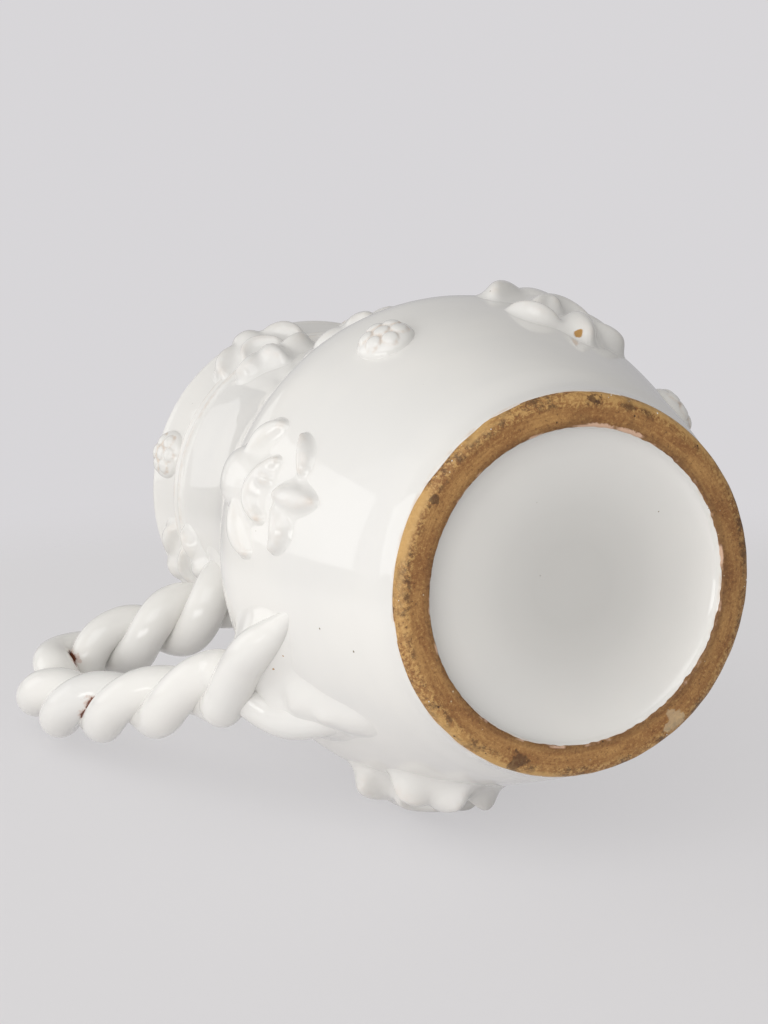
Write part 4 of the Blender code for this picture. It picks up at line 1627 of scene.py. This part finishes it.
@dataclass
class RopeHandle:
    """Two coils of clay twisted together, from the neck to the belly.

    Each knot of the line is x from the jug's axis, y, z and the strand's radius, in mm.
    """

    wall: Wall
    finish: bpy.types.Material
    line: Knots = (
        (44.5, -4.0, 190.5, 7.3),
        (64.8, -4.4, 191.4, 7.3),
        (82.8, -4.0, 197.4, 7.2),
        (97.0, -2.6, 205.2, 7.1),
        (110.5, -1.0, 211.2, 7.1),
        (122.3, -0.4, 208.0, 7.1),
        (129.4, -0.4, 194.0, 7.1),
        (127.0, -0.9, 171.0, 7.1),
        (118.0, -1.2, 148.0, 7.1),
        (104.0, -0.3, 118.0, 7.1),
        (95.0, 1.4, 102.0, 7.1),
        (90.2, 2.2, 93.0, 7.1),
        (88.2, 2.4, 84.0, 7.1),
    )
    offset: float = 5.0
    opening: float = 1.1
    turns: float = 3.95
    tightening: float = 0.31
    end_phase: float = math.radians(212.0)
    stations: int = 220
    sides: int = 28
    uneven: float = 0.04

    def build(self) -> list[bpy.types.Object]:
        """Makes both strands, half a turn apart."""
        strands = (("handle_strand_a", 0.0, TAIL_A), ("handle_strand_b", math.pi, TAIL_B))
        return [self.build_strand(node, ahead, tail) for node, ahead, tail in strands]

    def axis_line(self, tail: TailRoute) -> tuple[np.ndarray, float]:
        """The rope's middle line, with one strand's tail joined on.

        Args:
            tail: the strand's way over the belly.

        Returns:
            Points with radii in metres, and the share of the line before the tail.
        """
        knots = np.array(self.line, float) + np.array((self.wall.axis, 0.0, 0.0, 0.0))
        rope = rounded_line(knots * MM, 400)
        whole = rounded_line(np.vstack([rope[::12], tail.in_space(self.wall)]), self.stations)
        rope_length = np.linalg.norm(np.diff(rope, axis=0), axis=1).sum()
        whole_length = np.linalg.norm(np.diff(whole, axis=0), axis=1).sum()
        return whole, rope_length / whole_length

    def strand_tree(self, node: str, ahead: float, share: float) -> GrowTree:
        """The rule of a strand: a tube wound round the rope's middle line, which it follows at the tail.

        Args:
            node: the solid it stands for.
            ahead: how far it is turned ahead, in radians.
            share: share of the line before the tail.

        Returns:
            The tree, to be grown on the middle line.
        """
        tree = GrowTree(f"twisted {node}")
        bench = tree.bench
        turns = tree.take("Turns", "Float", self.turns)
        tight = tree.take("Tightening", "Float", self.tightening)
        start = tree.take("End phase", "Float", self.end_phase + ahead)
        offset = tree.take("Offset", "Float", self.offset * MM)
        opening = tree.take("Opening at the neck", "Float", self.opening * MM)
        sides = tree.take("Sides", "Int", self.sides)
        rope_share = tree.take("Rope share", "Float", share)
        coat = tree.take("Finish", "Material", self.finish)
        factor = bench.add("GeometryNodeSplineParameter").outputs["Factor"]
        along = bench.math("MINIMUM", bench.math("DIVIDE", factor, rope_share), 1.0)
        left = bench.math("SUBTRACT", 1.0, along)
        eased = bench.math("MULTIPLY", bench.math("MULTIPLY", left, left), tight)
        plain = bench.math("MULTIPLY", left, bench.math("SUBTRACT", 1.0, tight))
        lay = bench.math("MULTIPLY", bench.math("ADD", eased, plain), turns)
        phase = bench.math("MULTIPLY_ADD", lay, math.tau, start)
        tangent = bench.add("GeometryNodeInputTangent").outputs[0]
        sideways = (0.0, 1.0, 0.0)
        inward = bench.vector("CROSS_PRODUCT", sideways, tangent)
        first = bench.vector("SCALE", inward, bench.math("COSINE", phase))
        second = bench.vector("SCALE", sideways, bench.math("SINE", phase))
        fade = bench.spread(bench.math("SUBTRACT", factor, rope_share), -0.03, 0.075, 1.0, 0.0)
        open_lay = bench.math("MULTIPLY_ADD", bench.spread(left, 0.45, 0.85), opening, offset)
        distance = bench.math("MULTIPLY", open_lay, fade)
        shift = bench.vector("SCALE", bench.vector("ADD", first, second), distance)
        wound = bench.make("GeometryNodeSetPosition", {"Geometry": tree.seed(), "Offset": shift})
        wander = bench.noise(bench.add("GeometryNodeInputPosition").outputs[0], 55.0, 1.0)
        uneven = bench.spread(wander, 0.2, 0.8, 1.0 - self.uneven, 1.0 + self.uneven)
        scale = bench.math("MULTIPLY", bench.add("GeometryNodeInputRadius").outputs[0], uneven)
        profile = bench.make("GeometryNodeCurvePrimitiveCircle", {"Resolution": sides, "Radius": 1.0})
        feeds = {"Curve": wound.outputs[0], "Profile Curve": profile.outputs[0]}
        tube = bench.make("GeometryNodeCurveToMesh", feeds | {"Scale": scale, "Fill Caps": True})
        tree.close(tube.outputs[0], coat)
        return tree

    def build_strand(self, node: str, ahead: float, tail: TailRoute) -> bpy.types.Object:
        """Twists one strand round the rope's middle line and tapers its tail.

        Args:
            node: the solid it stands for.
            ahead: how far it is turned ahead, in radians.
            tail: its way over the belly.

        Returns:
            The piece.
        """
        line, share = self.axis_line(tail)
        mesh = self.strand_tree(node, ahead, share).grow(curve_seed(f"{node} line", line), node)
        self.dress(mesh)
        return new_piece(f"rope_{node}", mesh, self.finish, Slot.GLAZE, node)

    def dress(self, mesh: bpy.types.Mesh) -> None:
        """Marks the strand's glaze as thick all over and cleans its mesh."""
        store(mesh, Layer.THIN, np.zeros(len(mesh.vertices)))
        tidy_mesh(mesh)


@dataclass
class HandleRoot:
    """Smeared clay and glaze round both ends of the rope.

    Sizes are in mm. Each tail has a factor on its radius, and the share of it that stands proud.
    """

    wall: Wall
    finish: bpy.types.Material
    low: float = 64.0
    low_patch: Pair = (44.0, 46.0)
    low_soft: float = 1.7
    high: float = 191.5
    high_patch: Pair = (24.0, 24.0)
    high_soft: float = 1.8
    smears: tuple[Leaf, ...] = (
        Leaf((-4.0, 5.0), (-4.5, -4.0), (-9.0, -16.0), 10.0, 5.2, 0.7, 1.3),
        Leaf((-8.0, -4.0), (-11.0, -16.0), (-17.0, -32.0), 10.0, 3.2, 1.0, 1.5),
        Leaf((-5.0, 0.0), (-4.0, -3.5), (-5.0, -7.0), 4.0, 6.8, 0.6, 1.2),
        Leaf((-9.5, -9.5), (-9.0, -13.0), (-10.5, -17.0), 4.0, 5.6, 0.6, 1.2),
    )
    tails: tuple[tuple[TailRoute, float, float], ...] = ((TAIL_A, 1.7, 0.3), (TAIL_B, 1.6, 0.9))
    tail_flank: float = 1.3
    pooling: float = 3.6
    pool_loss: float = 0.35
    collar: Pair = (15.0, 14.0)
    collar_rise: float = 4.5

    def build(self) -> list[bpy.types.Object]:
        """Makes the low pad on the belly and the collar on the neck."""
        return [self.low_pad(), self.high_collar()]

    def low_pad(self) -> bpy.types.Object:
        """The two tails, smoothed onto the belly.

        Returns:
            The pad.
        """
        patch = ReliefPatch(self.wall, 0.0, self.low, *self.low_patch, soft=self.low_soft)
        across, up = patch.grid()
        rises = [smear.rise(across, up) for smear in self.smears]
        for tail, spread, share in self.tails:
            for aside, along, lift, radius in tail.on_wall(self.wall, self.low):
                away = np.hypot(across - aside, up - along) / (radius * spread)
                crest = max(lift + radius * share, 0.0)
                rises.append(crest * np.clip(1.0 - away**2, 0.0, 1.0) ** self.tail_flank)
        raised = np.max(rises, axis=0)
        pooled = np.clip(patch.soften(raised, self.pooling) - self.pool_loss, 0.0, None)
        mesh = patch.build("low pad", np.maximum(raised, pooled))
        return new_piece("rope_low_pad", mesh, self.finish, Slot.GLAZE)

    def high_collar(self) -> bpy.types.Object:
        """The smear round the rope's end on the neck.

        Returns:
            The collar.
        """
        patch = ReliefPatch(self.wall, 0.0, self.high, *self.high_patch, soft=self.high_soft)
        across, up = patch.grid()
        reach = np.hypot(across / self.collar[0], up / self.collar[1])
        mesh = patch.build("high collar", self.collar_rise * np.clip(1.0 - reach, 0.0, 1.0))
        return new_piece("rope_high_collar", mesh, self.finish, Slot.GLAZE)


@dataclass(frozen=True)
class LyingPose:
    """How the jug lies for the picture: which way is up, seen from the jug, and where the floor is."""

    centre: Vector
    up_turn: float = math.radians(118.0)
    dip: float = math.radians(4.34)
    clearance: float = 0.0002

    def up(self) -> Vector:
        """The floor's upward direction in the row frame, of length 1."""
        level = math.cos(self.dip)
        return Vector((math.cos(self.up_turn) * level, math.sin(self.up_turn) * level, -math.sin(self.dip)))

    def floor_point(self) -> Vector:
        """The point on the floor below the jug's lowest place.

        Returns:
            A point in the row frame.
        """
        up = self.up()
        lowest = 0.0
        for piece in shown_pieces():
            if piece.type == "MESH":
                heights = (corners(piece.data) - np.array(self.centre)) @ np.array(up)
                lowest = min(lowest, float(heights.min()))
        return self.centre + up * (lowest - self.clearance)


@dataclass(frozen=True)
class Lamp:
    """An area lamp that faces the jug.

    Its place is given to the right, away from the camera and up, in metres as the picture shows it.
    """

    name: str
    right: float
    away: float
    up: float
    width: float
    height: float
    power: float


def facing(back: Vector, up: Vector) -> Matrix:
    """The turn of a camera or lamp that looks against a direction and keeps another one upright."""
    right = up.cross(back).normalized()
    return Matrix((right, back.cross(right), back)).transposed().to_4x4()


@dataclass
class Studio:
    """Floor, lamps, world and camera.

    Places are in metres from the middle of the jug's foot.
    """

    pose: LyingPose
    eye: Vector = Vector((0.1621, 0.2102, -0.4956))
    target: Vector = Vector((0.0239, 0.0310, 0.0601))
    lens: float = 70.3
    sensor: float = 36.0
    backdrop: Colour = (0.685, 0.672, 0.69, 1.0)
    room: Colour = (1.0, 0.985, 0.97, 1.0)
    floor_middle: Vector = Vector((0.0, 0.0, 0.10))
    floor_radius: float = 0.5
    floor_sides: int = 64
    lamp_middle: Vector = Vector((0.0, 0.0, 0.09))
    lamps: tuple[Lamp, ...] = (
        Lamp("key", -1.10, -0.35, 0.46, 1.4, 1.2, 1.4),
        Lamp("window", -1.00, 0.31, 0.19, 0.48, 0.55, 0.78),
        Lamp("far window", -0.78, 0.80, 0.14, 0.36, 0.50, 0.28),
        Lamp("front", -0.35, -0.95, 0.92, 1.2, 0.8, 4.9),
        Lamp("fill", -0.65, -0.95, 0.06, 0.9, 0.3, 2.9),
    )

    def build(self) -> None:
        """Sets up everything round the jug."""
        self.set_world()
        self.set_camera()
        self.set_floor()
        self.set_lamps()
        bpy.context.scene.view_settings.view_transform = "Standard"

    def axes(self) -> tuple[Vector, Vector, Vector]:
        """Directions in the picture.

        Returns:
            Right, away from the camera along the floor, and up.
        """
        up = self.pose.up()
        look = (self.target - self.eye).normalized()
        right = look.cross(up).normalized()
        return right, up.cross(right).normalized(), up

    def set_world(self) -> None:
        """Gives the camera a pale backdrop and the jug a soft surrounding light."""
        world = bpy.data.worlds.new("soft room")
        world.use_nodes = True
        bpy.context.scene.world = world
        bench = Bench(world.node_tree)
        room = world.node_tree.nodes["Background"]
        room.inputs["Color"].default_value = self.room
        right, away, up = self.axes()
        bright = (-0.70 * right - 0.50 * away - 0.30 * up).normalized()
        where = bench.coordinates("Generated")
        brightness = bench.vector("DOT_PRODUCT", where, bright)
        bench.feed(room.inputs["Strength"], bench.spread(brightness, -1.0, 1.0, 0.36, 0.74))
        behind = bench.vector("DOT_PRODUCT", where, away)
        camera = bench.add("ShaderNodeLightPath").outputs["Is Camera Ray"]
        paper = bench.math("MAXIMUM", camera, bench.spread(behind, 0.80, 0.96, 0.42, 0.66))
        seen = bench.make("ShaderNodeBackground", {"Color": self.backdrop, "Strength": paper})
        surface = bench.blend(bench.direct_view(), room.outputs[0], seen.outputs[0])
        bench.feed(world.node_tree.nodes["World Output"].inputs["Surface"], surface)

    def set_camera(self) -> None:
        """Places the camera below the foot, looking up into it, as the jug lies."""
        data = bpy.data.cameras.new("camera")
        data.lens = self.lens
        data.sensor_width = self.sensor
        camera = link_object("camera", data)
        turn = facing((self.eye - self.target).normalized(), self.pose.up())
        camera.matrix_world = Matrix.Translation(self.pose.centre + self.eye) @ turn
        bpy.context.scene.camera = camera

    def set_floor(self) -> None:
        """Lays a round floor under the lying jug."""
        right, away, up = self.axes()
        middle = self.pose.floor_point()
        turns = np.linspace(0.0, math.tau, self.floor_sides, endpoint=False)
        rim = [Vector((math.cos(turn), math.sin(turn), 0.0)) * self.floor_radius for turn in turns]
        mesh = bpy.data.meshes.new("floor")
        mesh.from_pydata(rim, [], [list(range(self.floor_sides))])
        floor = new_object("floor", mesh, PaleFloor().material("pale floor"))
        inside = self.pose.centre + self.floor_middle
        spot = inside - up * (inside - middle).dot(up)
        floor.matrix_world = Matrix.Translation(spot) @ Matrix((right, away, up)).transposed().to_4x4()
        floor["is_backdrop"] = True

    def set_lamps(self) -> None:
        """Hangs a large soft lamp and two windows at the left, and two lamps in front."""
        right, away, up = self.axes()
        centre = self.pose.centre + self.lamp_middle
        for lamp in self.lamps:
            data = bpy.data.lights.new(lamp.name, "AREA")
            data.shape = "RECTANGLE"
            data.size = lamp.width
            data.size_y = lamp.height
            data.energy = lamp.power
            offset = lamp.right * right + lamp.away * away + lamp.up * up
            hung = link_object(lamp.name, data)
            hung.matrix_world = Matrix.Translation(centre + offset) @ facing(offset.normalized(), up)


# Node, angle, height, leaf group, mirrored, size and relief, then pooling and mound where they differ.
SPRIGS = (
    ("belly_sprig_1", 48, 65, Motif.BELLY, False, 1.0, 1.0),
    ("belly_sprig_2", 140, 72.5, Motif.BELLY, True, 1.10, 1.1, 3.4, 1.4),
    ("belly_sprig_3", -47, 68, Motif.BELLY, True, 1.0, 0.95, 3.6, 4.6),
    ("belly_sprig_4", -137, 72, Motif.BELLY, False, 1.0, 1.05),
    ("shoulder_sprig_1", 99, 121, Motif.NECK, False, 1.12, 0.9),
    ("shoulder_sprig_2", -97, 121, Motif.NECK, True, 1.12, 0.9),
    ("neck_sprig_1", 94, 215.5, Motif.NECK, False, 1.12, 1.4, 3.2),
    ("neck_sprig_2", -92, 215.5, Motif.NECK, True, 1.12, 1.4, 3.2),
    ("neck_sprig_3", 4, 217, Motif.NECK, False, 1.05, 1.15, 3.2),
)
# Node, angle and height.
ROSETTES = (
    ("belly_rosette_1", 92, 63),
    ("belly_rosette_2", 176, 63),
    ("belly_rosette_3", -92, 63),
    ("rim_rosette_1", 44, 227),
    ("rim_rosette_2", 136, 227),
    ("rim_rosette_3", -44, 227),
    ("rim_rosette_4", -136, 227),
)
STRAND_SCARS = (
    Line(Vector((0.0841, 0.0050, 0.2075)), Vector((0.0855, 0.0020, 0.1955)), 0.0014),
    Line(Vector((0.0963, -0.0014, 0.1537)), Vector((0.0929, 0.0018, 0.1493)), 0.0012),
    Line(Vector((0.0935, 0.0012, 0.1500)), Vector((0.0886, 0.0048, 0.1460)), 0.0015),
)
GLAZE_CHIPS = (
    Mark(Vector((-0.0833, 0.0481, 0.0480)), 0.0018),
    Mark(Vector((0.0237, -0.0586, 0.0700)), 0.0006),
    Mark(Vector((0.0419, 0.0118, 0.0571)), 0.0004),
    Mark(Vector((0.0433, 0.0105, 0.0591)), 0.0003),
    Mark(Vector((0.0456, 0.0082, 0.0624)), 0.0005),
)
GLAZE_PITS = (
    Mark(Vector((-0.0703, 0.0059, 0.0048)), 0.0004),
    Mark(Vector((-0.0638, 0.0038, 0.0050)), 0.0003),
    Mark(Vector((0.0323, 0.0200, 0.0362)), 0.00035),
    Mark(Vector((0.0296, 0.0133, 0.0232)), 0.0004),
)
RING_BURNS = (
    Mark(Vector((-0.0057, 0.0456, 0.0002)), 0.0017),
    Mark(Vector((-0.0600, 0.0444, 0.0005)), 0.0020),
    Mark(Vector((0.0090, -0.0334, 0.0001)), 0.0030),
)
RING_BLEACHED = (Mark(Vector((-0.0376, -0.0508, 0.0)), 0.0036),)
RING_FLAKES = (
    Mark(Vector((-0.0580, 0.0370, 0.0)), 0.0050),
    Mark(Vector((-0.0650, 0.0300, 0.0)), 0.0045),
)
RING_GILDED = (Mark(Vector((0.0027, 0.0432, 0.0008)), 0.0125),)


def write_size(cad: tuple[Vector, Vector], dressed: tuple[Vector, Vector]) -> None:
    """Args:
        cad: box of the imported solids.
        dressed: box of the dressed model.
    """
    for low, high in (cad, dressed):
        LOG.info("box %s mm", [round((b - a) / MM, 1) for a, b in zip(low, high)])


def main() -> None:
    """Builds the dressed jug and its studio, and reports each piece."""
    logging.basicConfig(level=logging.INFO, format="%(name)s: %(message)s")
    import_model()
    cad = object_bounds()
    low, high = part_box("foot_ring")
    axis = (low[0] + high[0]) / 2
    wall = Wall(axis / MM)
    glaze = TinGlaze(chips=GLAZE_CHIPS, pits=GLAZE_PITS).material("tin glaze")
    rope_glaze = TinGlaze(scars=STRAND_SCARS).material("tin glaze on the rope")
    marks = {"burns": RING_BURNS, "bleached": RING_BLEACHED, "flakes": RING_FLAKES, "gilded": RING_GILDED}
    clay = RawClay(axis, FootRing.inner * MM, FootRing.outer * MM, **marks).material("raw clay")
    makers = [Vessel(wall, glaze), FootRing(wall, clay, glaze)]
    makers += [RopeHandle(wall, rope_glaze), HandleRoot(wall, glaze)]
    makers += [Sprig(wall, glaze, *row) for row in SPRIGS]
    makers += [Rosette(wall, glaze, *row) for row in ROSETTES]
    for maker in makers:
        for piece in maker.build():
            LOG.info("%s has %d faces", piece.name, len(piece.data.polygons))
    Studio(LyingPose(Vector((axis, 0.0, 0.0)))).build()
    write_size(cad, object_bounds())


if __name__ == "__main__":
    main()
